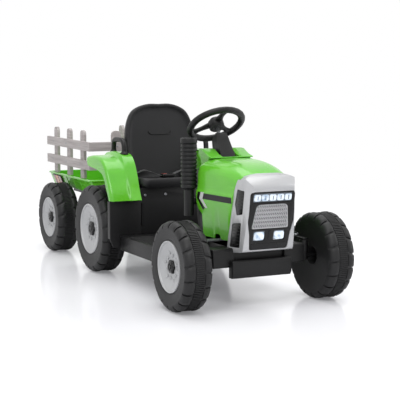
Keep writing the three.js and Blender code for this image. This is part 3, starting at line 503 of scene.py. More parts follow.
def settled(thing: Thing, crease: float | None = None) -> Thing:
    """Turns an object's modifiers into plain mesh.

    Args:
        thing: Object with modifiers.
        crease: Angle of sharp edges in degrees, or None to keep them as they come.

    Returns:
        The same object, with its modifiers removed.
    """
    bpy.context.view_layer.update()
    view = bpy.context.evaluated_depsgraph_get()
    mesh = bpy.data.meshes.new_from_object(thing.evaluated_get(view), depsgraph=view)
    old = thing.data
    thing.modifiers.clear()
    thing.data = mesh
    mesh.name = thing.name
    bpy.data.meshes.remove(old)
    if crease is not None:
        shade(mesh, crease)
    return thing


def discard(thing: Thing) -> None:
    """Removes an object and its mesh.

    Args:
        thing: Object to remove.
    """
    mesh = thing.data
    bpy.data.objects.remove(thing)
    bpy.data.meshes.remove(mesh)


def carve(thing: Thing, *tools: Draft, keep: bool = False, crease: float = CREASE) -> Thing:
    """Cuts tools out of an object, or keeps only what lies in each.

    Args:
        thing: Object to cut.
        tools: Closed shapes.
        keep: Keeps the common part in place of the rest.
        crease: Angle of sharp edges in degrees.

    Returns:
        The same object.
    """
    for tool in tools:
        cutter = tool.to_object("tool")
        step = thing.modifiers.new("Cut", "BOOLEAN")
        step.operation = "INTERSECT" if keep else "DIFFERENCE"
        step.solver = "EXACT"
        step.object = cutter
        settled(thing)
        discard(cutter)
    clean(thing.data, WELD)
    shade(thing.data, crease)
    return thing


def bevelled(thing: Thing, width: float, segments: int = 2, angle: float = 34.0) -> Thing:
    """Rounds an object's sharp edges.

    Args:
        thing: Object to round.
        width: Width of the rounding in millimetres.
        segments: Steps across it.
        angle: Angle in degrees from which an edge is rounded.

    Returns:
        The same object.
    """
    step = thing.modifiers.new("Round", "BEVEL")
    step.width = width * MM
    step.segments = segments
    step.limit_method = "ANGLE"
    step.angle_limit = math.radians(angle)
    step.harden_normals = False
    step.use_clamp_overlap = True
    return settled(thing, 40.0)


def walled(thing: Thing, thickness: float, inside: Point) -> Thing:
    """Gives an open sheet a wall on the side of a point.

    Args:
        thing: Object with the outer sheet.
        thickness: Wall in millimetres.
        inside: Point in millimetres on the wall's side of the sheet.

    Returns:
        The same object.
    """
    heart = Vector(inside) * MM
    facing = sum(
        face.area * face.normal.dot(face.center - heart) for face in thing.data.polygons
    )
    if facing < 0:
        thing.data.flip_normals()
    step = thing.modifiers.new("Wall", "SOLIDIFY")
    step.thickness = thickness * MM
    step.offset = -1
    step.use_even_offset = True
    return settled(thing, CREASE)


def gathered(name: str, *things: Thing) -> Thing:
    """Joins objects into one and keeps each face's material.

    Args:
        name: Name of the joined object.
        things: Objects to join; they are removed.

    Returns:
        The joined object.
    """
    materials: list[Material] = []
    work = bmesh.new()
    for thing in things:
        start = len(work.faces)
        work.from_mesh(thing.data)
        work.faces.ensure_lookup_table()
        own = [slot.material for slot in thing.material_slots] or [None]
        for face in work.faces[start:]:
            material = own[min(face.material_index, len(own) - 1)]
            if material not in materials:
                materials.append(material)
            face.material_index = materials.index(material)
    mesh = bpy.data.meshes.new(name)
    work.to_mesh(mesh)
    work.free()
    for material in materials:
        mesh.materials.append(material)
    for thing in things:
        discard(thing)
    return linked(name, mesh)


def mirrored(thing: Thing, name: str) -> Thing:
    """Copies an object to the other side of the middle plane.

    Args:
        thing: Object at the origin.
        name: Name of the copy.

    Returns:
        The mirrored copy, with outward faces.
    """
    mesh = thing.data.copy()
    mesh.name = name
    mesh.transform(Matrix.Scale(-1, 4, (1, 0, 0)))
    mesh.flip_normals()
    return linked(name, mesh)


def painted(thing: Thing, material: Material) -> Thing:
    """Gives an object one material for all its faces.

    Args:
        thing: Object.
        material: Its finish.

    Returns:
        The same object.
    """
    thing.data.materials.clear()
    thing.data.materials.append(material)
    return thing


# ---- node trees in the making, shader groups and finishes ----


def new_node(tree: Tree, kind: str, **settings: object) -> Node:
    """Adds a node to a tree.

    Args:
        tree: Tree that takes the node.
        kind: Node type.
        **settings: Properties to set on it.

    Returns:
        The node.
    """
    node = tree.nodes.new(kind)
    for key, value in settings.items():
        setattr(node, key, value)
    return node


@dataclass
class TreeDraft:
    """A node tree in the making, wired by helper calls."""

    tree: Tree

    def node(self, kind: str, **settings: object) -> Node:
        """Adds a node and sets its properties."""
        return new_node(self.tree, kind, **settings)

    def link(self, source: Socket, target: Socket) -> None:
        """Links two sockets."""
        self.tree.links.new(source, target)

    def fill(self, target: Socket, value: float | Socket) -> None:
        """Sets an input to a number, or links it to a socket.

        Args:
            target: Input to fill.
            value: Number or socket.
        """
        if isinstance(value, (int, float)):
            target.default_value = value
        else:
            self.link(value, target)

    def noise(self, scale: float | Socket, detail: float, vector: Socket) -> Socket:
        """Adds a noise texture.

        Args:
            scale: Scale, as a number or a socket.
            detail: Octaves.
            vector: Coordinates.

        Returns:
            The value of the noise.
        """
        node = self.node("ShaderNodeTexNoise")
        self.fill(node.inputs["Scale"], scale)
        self.fill(node.inputs["Detail"], detail)
        self.link(vector, node.inputs["Vector"])
        return node.outputs["Fac"]

    def ranged(self, value: Socket, source: Flat, target: Flat) -> Socket:
        """Maps a value from one range to another and clamps it.

        Args:
            value: Value to map.
            source: Range that comes in.
            target: Range that goes out.

        Returns:
            The mapped value.
        """
        node = self.node("ShaderNodeMapRange")
        self.link(value, node.inputs["Value"])
        for label, number in zip(("From Min", "From Max", "To Min", "To Max"), (*source, *target)):
            node.inputs[label].default_value = number
        return node.outputs["Result"]

    def math(self, way: str, *values: float | Socket) -> Socket:
        """Adds a math node.

        Args:
            way: Operation.
            *values: Its inputs, each a number or a socket.

        Returns:
            The result.
        """
        node = self.node("ShaderNodeMath", operation=way)
        for target, value in zip(node.inputs, values):
            self.fill(target, value)
        return node.outputs[0]


@dataclass
class GroupDraft(TreeDraft):
    """A shader node group in the making, with its inputs and outputs."""

    tree: Tree = field(init=False)
    name: str
    inputs: dict[str, float]
    outputs: Sequence[str]

    def __post_init__(self) -> None:
        """Makes the empty group and its sockets."""
        self.tree = bpy.data.node_groups.new(self.name, "ShaderNodeTree")
        face = self.tree.interface
        for label, value in self.inputs.items():
            socket = face.new_socket(label, in_out="INPUT", socket_type="NodeSocketFloat")
            socket.default_value = value
        for label in self.outputs:
            face.new_socket(label, in_out="OUTPUT", socket_type="NodeSocketFloat")
        self.given = self.node("NodeGroupInput").outputs
        self.result = self.node("NodeGroupOutput").inputs
        self.where = self.node("ShaderNodeTexCoord").outputs["Object"]

    def stretched(self, scale: Point, rotation: Point = (0.0, 0.0, 0.0)) -> Socket:
        """Object coordinates, scaled and turned.

        Args:
            scale: Scale on each axis.
            rotation: Turn in radians.

        Returns:
            The coordinates.
        """
        node = self.node("ShaderNodeMapping")
        node.inputs["Scale"].default_value = scale
        node.inputs["Rotation"].default_value = rotation
        self.link(self.where, node.inputs["Vector"])
        return node.outputs["Vector"]

    def finished(self, *values: Socket) -> Tree:
        """Feeds the group's outputs in order.

        Args:
            *values: One value for each output.

        Returns:
            The group.
        """
        for label, value in zip(self.outputs, values):
            self.link(value, self.result[label])
        return self.tree


@dataclass
class ShaderKit:
    """Shader groups that the finishes share."""

    def __post_init__(self) -> None:
        """Builds each group once."""
        self.surface = self._surface()
        self.weave = self._weave()
        self.boards = self._boards()
        self.cells = self._cells()

    def _surface(self) -> Tree:
        """Moulded surface: grain, flow shade, fine scratches, and dust and painted top light on
        up-facing patches.

        Returns:
            The group.
        """
        draft = GroupDraft(
            "Moulded surface",
            {"Grain Scale": 900.0, "Flow Scale": 9.0, "Scratch Scale": 60.0, "Dust Amount": 0.3},
            ("Grain", "Flow", "Scratches", "Dust", "Height"),
        )
        grain = draft.noise(draft.given["Grain Scale"], 2.0, draft.where)
        flow = draft.noise(draft.given["Flow Scale"], 3.0, draft.where)
        lines = draft.stretched((1.0, 0.06, 1.0), (0.3, 0.5, 0.9))
        streak = draft.noise(draft.given["Scratch Scale"], 6.0, lines)
        scratches = draft.ranged(streak, (0.60, 0.74), UNIT)
        split = draft.node("ShaderNodeSeparateXYZ")
        draft.link(draft.node("ShaderNodeNewGeometry").outputs["Normal"], split.inputs["Vector"])
        # Up-facing patches: settled dust, and painted top light where a finish gives them a paler
        # tint of its colour.
        facing = draft.ranged(split.outputs["Z"], (0.3, 1.0), UNIT)
        patch = draft.ranged(draft.noise(22.0, 5.0, draft.where), (0.40, 0.68), UNIT)
        up_facing_patches = draft.math("MULTIPLY", facing, patch)
        dust = draft.math("MULTIPLY", up_facing_patches, draft.given["Dust Amount"])
        height = draft.math("ADD", grain, draft.math("MULTIPLY", scratches, SCRATCH_DEPTH))
        return draft.finished(grain, flow, scratches, dust, height)

    def _weave(self) -> Tree:
        """Webbing: two crossed thread waves.

        Returns:
            The group.
        """
        draft = GroupDraft("Webbing weave", {"Thread Scale": 420.0}, ("Threads",))
        crossed = []
        for direction in ("X", "Y"):
            wave = draft.node("ShaderNodeTexWave", wave_type="BANDS", bands_direction=direction)
            wave.inputs["Distortion"].default_value = 0.6
            draft.link(draft.given["Thread Scale"], wave.inputs["Scale"])
            draft.link(draft.where, wave.inputs["Vector"])
            crossed.append(wave.outputs["Fac"])
        return draft.finished(draft.math("MAXIMUM", *crossed))

    def _boards(self) -> Tree:
        """Moulded board grain that runs along X and Y.

        Returns:
            The group.
        """
        draft = GroupDraft("Board grain", {"Line Scale": 160.0}, ("Lines", "Knots"))
        lines = draft.noise(draft.given["Line Scale"], 5.0, draft.stretched((0.10, 0.05, 1.0)))
        knots = draft.ranged(draft.noise(18.0, 3.0, draft.where), (0.35, 0.7), UNIT)
        return draft.finished(lines, knots)

    def _cells(self) -> Tree:
        """Small prisms of a lamp lens, and the bright spots behind them.

        Returns:
            The group.
        """
        draft = GroupDraft("Lens prisms", {"Prism Scale": 220.0}, ("Prisms", "Glow"))
        prism = draft.node("ShaderNodeTexVoronoi", feature="F1")
        prism.inputs["Randomness"].default_value = 0.0
        draft.link(draft.given["Prism Scale"], prism.inputs["Scale"])
        draft.link(draft.where, prism.inputs["Vector"])
        glow = draft.ranged(draft.noise(70.0, 2.0, draft.where), (0.30, 0.55), UNIT)
        return draft.finished(prism.outputs["Distance"], glow)


@dataclass
class MaterialDraft(TreeDraft):
    """A material in the making: its shader, and the groups that feed it."""

    tree: Tree = field(init=False)
    name: str

    def __post_init__(self) -> None:
        """Makes the material with its shader node."""
        self.material = bpy.data.materials.new(self.name)
        self.material.use_nodes = True
        self.tree = self.material.node_tree
        self.shader = self.tree.nodes["Principled BSDF"]

    def group(self, tree: Tree, **values: float) -> Node:
        """Places a shader group with its own values.

        Args:
            tree: Group.
            **values: Inputs by name, with _ for a space.

        Returns:
            The group node.
        """
        node = self.node("ShaderNodeGroup", node_tree=tree)
        for label, value in values.items():
            node.inputs[label.replace("_", " ")].default_value = value
        return node

    def blend(self, mask: Socket, a: Colour | Socket, b: Colour) -> Socket:
        """Mixes two colours by a mask.

        Args:
            mask: Share of the second colour.
            a: First colour or a colour socket.
            b: Second colour.

        Returns:
            The mixed colour.
        """
        node = self.node("ShaderNodeMix", data_type="RGBA")
        self.link(mask, node.inputs["Factor"])
        first, second = node.inputs[6], node.inputs[7]
        if isinstance(a, tuple):
            first.default_value = (*a, 1.0)
        else:
            self.link(a, first)
        second.default_value = (*b, 1.0)
        return node.outputs[2]

    def feed(self, source: Socket, label: str) -> None:
        """Feeds one of the shader's own sockets."""
        self.link(source, self.shader.inputs[label])

    def bump(self, height: Socket, depth: float) -> None:
        """Feeds the shader's normal from a height.

        Args:
            height: Height from 0 to 1.
            depth: Depth of the relief in millimetres.
        """
        node = self.node("ShaderNodeBump")
        node.inputs["Distance"].default_value = depth * MM
        node.inputs["Strength"].default_value = 1.0
        self.link(height, node.inputs["Height"])
        self.feed(node.outputs["Normal"], "Normal")


@dataclass(frozen=True)
class MouldedFinish:
    """Moulded plastic, rubber, paint or metal: grain, flow shade, scratches, dust and painted top
    light.
    """

    name: str
    colour: Colour
    shade: Colour
    # Colour of the up-facing patches: settled dust, and painted top light where it is a paler tint.
    dust: Colour
    roughness: Flat
    grain_scale: float
    grain_depth: float
    flow_scale: float = 9.0
    dust_amount: float = 0.25
    metallic: float = 0.0
    coat: float = 0.0
    specular: float = 0.5

    def build(self, kit: ShaderKit) -> Material:
        """Builds the material.

        Args:
            kit: Shared shader groups.

        Returns:
            The material.
        """
        draft = MaterialDraft(self.name)
        surface = draft.group(
            kit.surface,
            Grain_Scale=self.grain_scale,
            Flow_Scale=self.flow_scale,
            Dust_Amount=self.dust_amount,
        )
        flow = draft.ranged(surface.outputs["Flow"], (0.3, 0.7), UNIT)
        toned = draft.blend(flow, self.colour, self.shade)
        # Up-facing patches take that colour: settled dust, and painted top light on the green
        # shell.
        draft.feed(draft.blend(surface.outputs["Dust"], toned, self.dust), "Base Color")
        rough = draft.ranged(surface.outputs["Grain"], (0.3, 0.7), self.roughness)
        worn = draft.math("MULTIPLY_ADD", surface.outputs["Scratches"], SCRATCH_ROUGHNESS, rough)
        draft.feed(worn, "Roughness")
        draft.shader.inputs["Metallic"].default_value = self.metallic
        draft.shader.inputs["Coat Weight"].default_value = self.coat
        draft.shader.inputs["Coat Roughness"].default_value = 0.06
        draft.shader.inputs["Specular IOR Level"].default_value = self.specular
        draft.bump(surface.outputs["Height"], self.grain_depth)
        return draft.material


@dataclass(frozen=True)
class BoardFinish:
    """Grey moulded boards with a wood-like grain."""

    name: str = "Fence boards"
    colour: Colour = linear(190, 184, 182)
    line: Colour = linear(158, 151, 150)
    knot: Colour = linear(176, 169, 168)

    def build(self, kit: ShaderKit) -> Material:
        """Builds the material.

        Args:
            kit: Shared shader groups.

        Returns:
            The material.
        """
        draft = MaterialDraft(self.name)
        boards = draft.group(kit.boards)
        lines = draft.ranged(boards.outputs["Lines"], (0.35, 0.65), UNIT)
        toned = draft.blend(lines, self.colour, self.line)
        draft.feed(draft.blend(boards.outputs["Knots"], toned, self.knot), "Base Color")
        draft.feed(draft.ranged(boards.outputs["Lines"], (0.3, 0.7), (0.45, 0.62)), "Roughness")
        draft.bump(boards.outputs["Lines"], 0.5)
        return draft.material


@dataclass(frozen=True)
class WebbingFinish:
    """Black woven webbing."""

    name: str = "Webbing"
    colour: Colour = linear(16, 16, 18)
    thread: Colour = linear(44, 44, 47)

    def build(self, kit: ShaderKit) -> Material:
        """Builds the material.

        Args:
            kit: Shared shader groups.

        Returns:
            The material.
        """
        draft = MaterialDraft(self.name)
        weave = draft.group(kit.weave)
        draft.feed(draft.blend(weave.outputs["Threads"], self.colour, self.thread), "Base Color")
        draft.feed(draft.ranged(weave.outputs["Threads"], (0.0, 1.0), (0.95, 0.7)), "Roughness")
        draft.shader.inputs["Sheen Weight"].default_value = 0.25
        draft.bump(weave.outputs["Threads"], 0.5)
        return draft.material


@dataclass(frozen=True)
class LensFinish:
    """Lamp lens with small prisms and a cool glow behind it."""

    name: str
    colour: Colour
    edge: Colour
    glow: float
    prism_scale: float = 220.0

    def build(self, kit: ShaderKit) -> Material:
        """Builds the material.

        Args:
            kit: Shared shader groups.

        Returns:
            The material.
        """
        draft = MaterialDraft(self.name)
        cells = draft.group(kit.cells, Prism_Scale=self.prism_scale)
        colour = draft.blend(cells.outputs["Glow"], self.edge, self.colour)
        draft.feed(colour, "Base Color")
        draft.feed(colour, "Emission Color")
        draft.feed(draft.ranged(cells.outputs["Prisms"], (0.0, 0.6), (0.08, 0.3)), "Roughness")
        draft.shader.inputs["Emission Strength"].default_value = self.glow
        draft.shader.inputs["Coat Weight"].default_value = 0.6
        draft.bump(cells.outputs["Prisms"], 0.8)
        return draft.material


DUST = linear(120, 116, 110)


@dataclass
class Palette:
    """Every finish of the tractor, built once."""

    def __post_init__(self) -> None:
        """Builds the materials."""
        kit = ShaderKit()
        black = {"dust": DUST, "dust_amount": 0.03, "specular": 0.35}
        # The third colour is a paler green laid on up-facing patches: painted top light, not dust.
        self.green = MouldedFinish(
            "Green shell", linear(106, 200, 44), linear(88, 184, 36), linear(150, 205, 110),
            (0.22, 0.30), 1300.0, 0.02, dust_amount=0.10, coat=0.35,
        ).build(kit)
        self.body = MouldedFinish(
            "Black body", linear(21, 21, 22), linear(15, 15, 16), roughness=(0.36, 0.50),
            grain_scale=1500.0, grain_depth=0.10, **black,
        ).build(kit)
        self.gloss = MouldedFinish(
            "Black glossy trim", linear(12, 12, 13), linear(8, 8, 9), roughness=(0.20, 0.30),
            grain_scale=1200.0, grain_depth=0.02, **black,
        ).build(kit)
        self.seat = MouldedFinish(
            "Black seat", linear(27, 27, 29), linear(21, 21, 22), roughness=(0.40, 0.54),
            grain_scale=1050.0, grain_depth=0.22, **black,
        ).build(kit)
        self.tyre = MouldedFinish(
            "Tyre", linear(33, 33, 34), linear(26, 26, 27), linear(96, 92, 88), (0.42, 0.58),
            1100.0, 0.12, flow_scale=14.0, dust_amount=0.06, specular=0.35,
        ).build(kit)
        self.silver = MouldedFinish(
            "Silver paint", linear(196, 197, 199), linear(180, 181, 184), linear(190, 188, 184),
            (0.26, 0.38), 2400.0, 0.03, metallic=0.25, coat=0.3,
        ).build(kit)
        self.rim = MouldedFinish(
            "Rim paint", linear(190, 191, 192), linear(172, 173, 175), linear(150, 147, 142),
            (0.34, 0.46), 2200.0, 0.04, metallic=0.15,
        ).build(kit)
        self.mesh = MouldedFinish(
            "Grille mesh", linear(216, 216, 218), linear(198, 198, 201), linear(140, 138, 134),
            (0.32, 0.44), 1800.0, 0.04, metallic=0.3,
        ).build(kit)
        self.steel = MouldedFinish(
            "Zinc plated steel", linear(176, 178, 182), linear(150, 152, 156),
            linear(130, 126, 120),
            (0.28, 0.46), 700.0, 0.05, metallic=0.9,
        ).build(kit)
        self.motor = MouldedFinish(
            "Gear case", linear(58, 58, 62), linear(46, 46, 50), roughness=(0.45, 0.6),
            grain_scale=800.0, grain_depth=0.15, **black,
        ).build(kit)
        self.red = MouldedFinish(
            "Tail lens red", linear(150, 48, 30), linear(110, 30, 20), linear(150, 110, 90),
            (0.12, 0.22), 900.0, 0.05, coat=0.6,
        ).build(kit)
        self.amber = MouldedFinish(
            "Tail lens amber", linear(214, 120, 40), linear(186, 96, 30), linear(200, 150, 100),
            (0.12, 0.22), 900.0, 0.05, coat=0.6,
        ).build(kit)
        self.white_mark = MouldedFinish(
            "Printed light strip", linear(214, 216, 214), linear(198, 200, 198),
            linear(190, 188, 180),
            (0.3, 0.4), 1600.0, 0.01,
        ).build(kit)
        self.lamp = LensFinish(
            "Lamp lens", linear(226, 236, 246), linear(150, 176, 204), 0.30
        ).build(kit)
        self.reflector = MouldedFinish(
            "Lamp reflector", linear(150, 160, 170), linear(90, 96, 104), linear(120, 120, 118),
            (0.10, 0.22), 500.0, 0.1, metallic=0.8,
        ).build(kit)
        self.fence = BoardFinish().build(kit)
        self.webbing = WebbingFinish().build(kit)


# ---- node trees that repeat a shape, and what every sub-assembly shares ----


@dataclass
class Repeater:
    """Geometry node trees that copy an object's own mesh round an axis or along a line."""

    def __post_init__(self) -> None:
        """Builds both trees."""
        self.ring = self._tree("Ring of copies", around=True)
        self.row = self._tree("Row of copies", around=False)

    def _tree(self, name: str, around: bool) -> Tree:
        """Builds a tree of copies.

        Args:
            name: Name of the tree.
            around: Turns the copies about an axis, in place of steps along a line.

        Returns:
            The tree, which ends in Realize Instances and Set Material.
        """
        tree = bpy.data.node_groups.new(name, "GeometryNodeTree")
        tree.is_modifier = True
        for label, kind in (
            ("Geometry", "Geometry"), ("Count", "Int"), ("Step", "Vector"), ("Start", "Vector"),
            ("Material", "Material"),
        ):
            tree.interface.new_socket(label, in_out="INPUT", socket_type=f"NodeSocket{kind}")
        tree.interface.new_socket("Geometry", in_out="OUTPUT", socket_type="NodeSocketGeometry")
        given, result = new_node(tree, "NodeGroupInput"), new_node(tree, "NodeGroupOutput")
        points = new_node(tree, "GeometryNodePoints")
        index = new_node(tree, "GeometryNodeInputIndex")
        scaled = new_node(tree, "ShaderNodeVectorMath", operation="SCALE")
        placed = new_node(tree, "ShaderNodeVectorMath", operation="ADD")
        copies = new_node(tree, "GeometryNodeInstanceOnPoints")
        real = new_node(tree, "GeometryNodeRealizeInstances")
        dressed = new_node(tree, "GeometryNodeSetMaterial")
        link = tree.links.new
        link(given.outputs["Count"], points.inputs["Count"])
        link(given.outputs["Step"], scaled.inputs[0])
        link(index.outputs[0], scaled.inputs["Scale"])
        link(scaled.outputs[0], placed.inputs[0])
        link(given.outputs["Start"], placed.inputs[1])
        link(given.outputs["Geometry"], copies.inputs["Instance"])
        if around:
            turn = new_node(tree, "FunctionNodeEulerToRotation")
            link(placed.outputs[0], turn.inputs[0])
            link(turn.outputs[0], copies.inputs["Rotation"])
            link(points.outputs[0], copies.inputs["Points"])
        else:
            moved = new_node(tree, "GeometryNodeSetPosition")
            link(points.outputs[0], moved.inputs["Geometry"])
            link(placed.outputs[0], moved.inputs["Position"])
            link(moved.outputs[0], copies.inputs["Points"])
        link(copies.outputs[0], real.inputs[0])
        link(real.outputs[0], dressed.inputs["Geometry"])
        link(given.outputs["Material"], dressed.inputs["Material"])
        link(dressed.outputs[0], result.inputs[0])
        return tree

    def _run(self, tree: Tree, thing: Thing, values: dict[str, object]) -> Thing:
        """Runs a tree on an object and keeps the result as plain mesh.

        Args:
            tree: Tree to run.
            thing: Object with the first copy.
            values: The tree's inputs by name.

        Returns:
            The same object.
        """
        step = thing.modifiers.new("Copies", "NODES")
        step.node_group = tree
        names = {
            item.name: item.identifier
            for item in tree.interface.items_tree
            if item.item_type == "SOCKET" and item.in_out == "INPUT"
        }
        for label, value in values.items():
            step[names[label]] = value
        return settled(thing, CREASE)

    def around(
        self, thing: Thing, count: int, material: Material, axis: Point = (1, 0, 0),
        phase: float = 0.0
    ) -> Thing:
        """Copies a shape evenly round an axis through the origin.

        Args:
            thing: Object with the first copy, already off the axis.
            count: Number of copies.
            material: Their finish.
            axis: Axis as a unit vector along X, Y or Z.
            phase: Turn of the first copy in degrees.

        Returns:
            The object with all copies.
        """
        step = tuple(math.tau / count * part for part in axis)
        start = tuple(math.radians(phase) * part for part in axis)
        return self._run(
            self.ring, thing, {"Count": count, "Step": step, "Start": start, "Material": material}
        )

    def along(
        self, thing: Thing, count: int, material: Material, step: Point, start: Point = (0, 0, 0)
    ) -> Thing:
        """Copies a shape along a line.

        Args:
            thing: Object with the shape.
            count: Number of copies.
            material: Their finish.
            step: Step between copies in millimetres.
            start: Shift of the first copy in millimetres.

        Returns:
            The object with all copies.
        """
        values = {
            "Count": count,
            "Step": tuple(part * MM for part in step),
            "Start": tuple(part * MM for part in start),
            "Material": material,
        }
        return self._run(self.row, thing, values)


@dataclass
class Workshop:
    """What every sub-assembly needs: the frame, the finishes and the repeater."""

    frame: dict
    palette: Palette
    repeat: Repeater

    def seat_on(
        self, thing: Thing, body: str | Body, slot: Slot, *nodes: str
    ) -> Thing:
        """Attaches a finished piece to its body and hides the nodes that it stands for.

        Args:
            thing: Piece, at the origin.
            body: Body that it rides on.
            slot: Material slot of the record; not used.
            *nodes: Nodes that it stands for.

        Returns:
            The piece.
        """
        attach(thing, body.value if isinstance(body, Body) else body)
        if nodes:
            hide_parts(*nodes)
        LOG.info("%s: %d faces", thing.name, len(thing.data.polygons))
        return thing

    def copy_of(self, name: str, node: str, bevel: float, segments: int = 2) -> Thing:
        """Copies a node's mesh and rounds its edges.

        Args:
            name: Name of the copy.
            node: Node of the frame.
            bevel: Width of the rounding in millimetres.
            segments: Steps across it.

        Returns:
            The copy.
        """
        mesh = self.frame["nodes"][node].data.copy()
        mesh.materials.clear()
        work = bmesh.new()
        work.from_mesh(mesh)
        bmesh.ops.remove_doubles(work, verts=work.verts, dist=WELD)
        bmesh.ops.dissolve_limit(
            work, angle_limit=math.radians(0.6), verts=work.verts, edges=work.edges
        )
        work.to_mesh(mesh)
        work.free()
        mesh.name = name
        return bevelled(linked(name, mesh), bevel, segments)

    def dress(
        self, node: str, body: str | Body, slot: Slot, material: Material, bevel: float,
        segments: int = 2
    ) -> Thing:
        """Puts a rounded, finished copy in a node's place.

        Args:
            node: Node of the frame.
            body: Body that it rides on.
            slot: Material slot.
            material: Finish.
            bevel: Width of the rounding in millimetres.
            segments: Steps across it.

        Returns:
            The piece.
        """
        copy = painted(self.copy_of(f"{node}_piece", node, bevel, segments), material)
        return self.seat_on(copy, body, slot, node)


@dataclass
class Assembly:
    """A sub-assembly, which builds its pieces with the workshop that it is given."""

    shop: Workshop

    @property
    def palette(self) -> Palette:
        """Finishes of the workshop."""
        return self.shop.palette

    @property
    def repeat(self) -> Repeater:
        """The workshop's node trees."""
        return self.shop.repeat

    def fit(self, node: str, slot: Slot, *parts: Thing, body: Body = Body.TRACTOR) -> None:
        """Joins parts into the piece that stands for a node.

        Args:
            node: Node of the frame, which names the piece.
            slot: Material slot of the record.
            *parts: Parts with their finishes.
            body: Body that it rides on.
        """
        self.shop.seat_on(gathered(f"{node}_piece", *parts), body, slot, node)


# ---- wheels ----


@dataclass
class WheelSet(Assembly):
    """A pair of wheels: tyre with ribs and lugs, dished rim and lobed hub cap."""

    place: str
    radius: float
    rim: float
    centre_x: float
    axle_y: float
    cap: float
    half_width: float = 36.0
    ribs: int = 132
    lugs: int = 18
    lobes: int = 6
    steps: int = 96

    def tyre(self) -> Thing:
        """Builds the left tyre about the origin.

        Returns:
            The tyre.
        """
        r, w, rim = self.radius, self.half_width, self.rim
        carcass = [
            (24, -28), (rim, -31), (r - 26, -w + 1), (r - 17, -w), (r - 10, -w + 5),
            (r - 6.5, -w + 12), (r - 2.6, -13), (r - 3.6, -11.5), (r - 3.6, 11.5), (r - 2.6, 13),
            (r - 6.5, w - 12), (r - 10, w - 5), (r - 17, w), (r - 26, w - 1), (rim + 5, w - 1.5),
            (rim + 2.4, w - 2.4), (rim, w - 4), (rim - 1, w - 8), (rim - 2, 27), (24, 19), (20, 18),
        ]
        turned = Draft().lathe(carcass, self.steps).to_object("carcass", 40)
        base = painted(turned, self.palette.tyre)
        rib = Draft().box((-11.5, -1.35, r - 5), (11.5, 1.35, r - 1.4)).to_object("rib")
        ribs = self.repeat.around(rib, self.ribs, self.palette.tyre)
        sides = [
            self.repeat.around(self._lug(sign), self.lugs, self.palette.tyre, phase=phase)
            for sign, phase in ((1, 0.0), (-1, 180 / self.lugs))
        ]
        return gathered("tyre", base, ribs, *sides)

    def _lug(self, sign: int) -> Thing:
        """One shoulder lug: a curved block with a stepped end and a short side bar.

        Args:
            sign: Side of the tyre, 1 or -1.

        Returns:
            The lug.
        """
        r, w = self.radius, self.half_width
        section = [
            (r - 9, 13.2), (r - 0.9, 13.8), (r, 16), (r, 22), (r - 2.2, 28.5),
            (r - 6.5, 33), (r - 12, w - 0.2), (r - 18, w - 0.1), (r - 20, w - 3), (r - 16, 28),
        ]
        reach = math.tau / self.lugs
        rows = []
        steps = 7
        for i in range(steps + 1):
            share = i / steps
            skew = 0.12 * reach
            drop = 2.2 if i in (0, steps) else 0.0
            row = []
            for radius, x in section:
                lean = skew * (x - 13) / 22
                angle = reach * (0.05 + 0.86 * share) + lean
                rr = radius - drop * (radius > r - 8)
                row.append((sign * x, -rr * math.sin(angle), rr * math.cos(angle)))
            rows.append(row)
        return Draft().sheet(rows, wrap=True, caps=True).to_object("lug", 28)

    def disc(self) -> Thing:
        """Builds the left rim about the origin, with its ring of small bosses.

        Returns:
            The rim.
        """
        seat = self.rim - 1.6
        profile = [
            (self.cap - 4, 20.6), (32, 20.6), (seat - 1, 28), (seat, 29), (seat, 34.2),
            (seat - 0.8, 35.2), (seat - 3.4, 35.2), (seat - 4.6, 34.0), (seat - 5.6, 31.6),
            (seat - 8, 30.6), (seat * 0.62, 27.2), (36, 25.4), (34, 24.6), (self.cap + 3, 24.3),
            (self.cap - 4, 24.2),
        ]
        plate = painted(Draft().lathe(profile, self.steps).to_object("plate", 38), self.palette.rim)
        knob = Draft().lathe(
            [(0, 24), (4.2, 24), (4.2, 27.0), (3.4, 27.9), (1.7, 27.9), (1.4, 26.6), (0, 26.6)],
            14, centre=(0, 0, self.cap + 10.5),
        )
        knobs = self.repeat.around(knob.to_object("knob"), self.lobes, self.palette.rim, phase=12)
        spoke = Draft().lathe(
            [(0, -9), (2.6, -7.5), (2.9, 0), (2.2, 8.5), (0, 10)], 10, axis=Axis.Z
        )
        spoke.bent(lambda p: (25.6 + p[0] * 0.7 + (p[2] + 9) * 0.10, p[1], p[2] + self.cap + 21))
        spokes = self.repeat.around(
            spoke.to_object("spoke"), self.lobes, self.palette.rim, phase=42
        )
        return gathered("disc", plate, knobs, spokes)

    def hub(self) -> Thing:
        """Builds the left lobed hub cap about the origin.

        Returns:
            The cap.
        """
        count = self.lobes * 12
        rings = [
            (0.0, 22.2), (self.cap - 6.2, 22.2), (self.cap - 6.2, 24.6), (self.cap, 24.6),
            (self.cap, 27.4), (self.cap - 1.2, 29.2), (self.cap - 4.2, 30.6), (
                self.cap * 0.52, 31.2
            ),
            (self.cap * 0.46, 29.6), (self.cap * 0.30, 29.6), (self.cap * 0.26, 31.8), (0.0, 31.9),
        ]
        rows = []
        for i in range(count):
            angle = math.tau * i / count
            row = []
            for radius, along in rings:
                bite = 0.14 * smooth(0.55, 1.0, radius / self.cap)
                r = radius * (1 - bite * (0.5 - 0.5 * math.cos(self.lobes * angle)))
                row.append((along, r * math.cos(angle), r * math.sin(angle)))
            rows.append(row)
        cap = Draft().sheet(rows, loop=True).to_object("cap", 45)
        return painted(cap, self.palette.gloss)

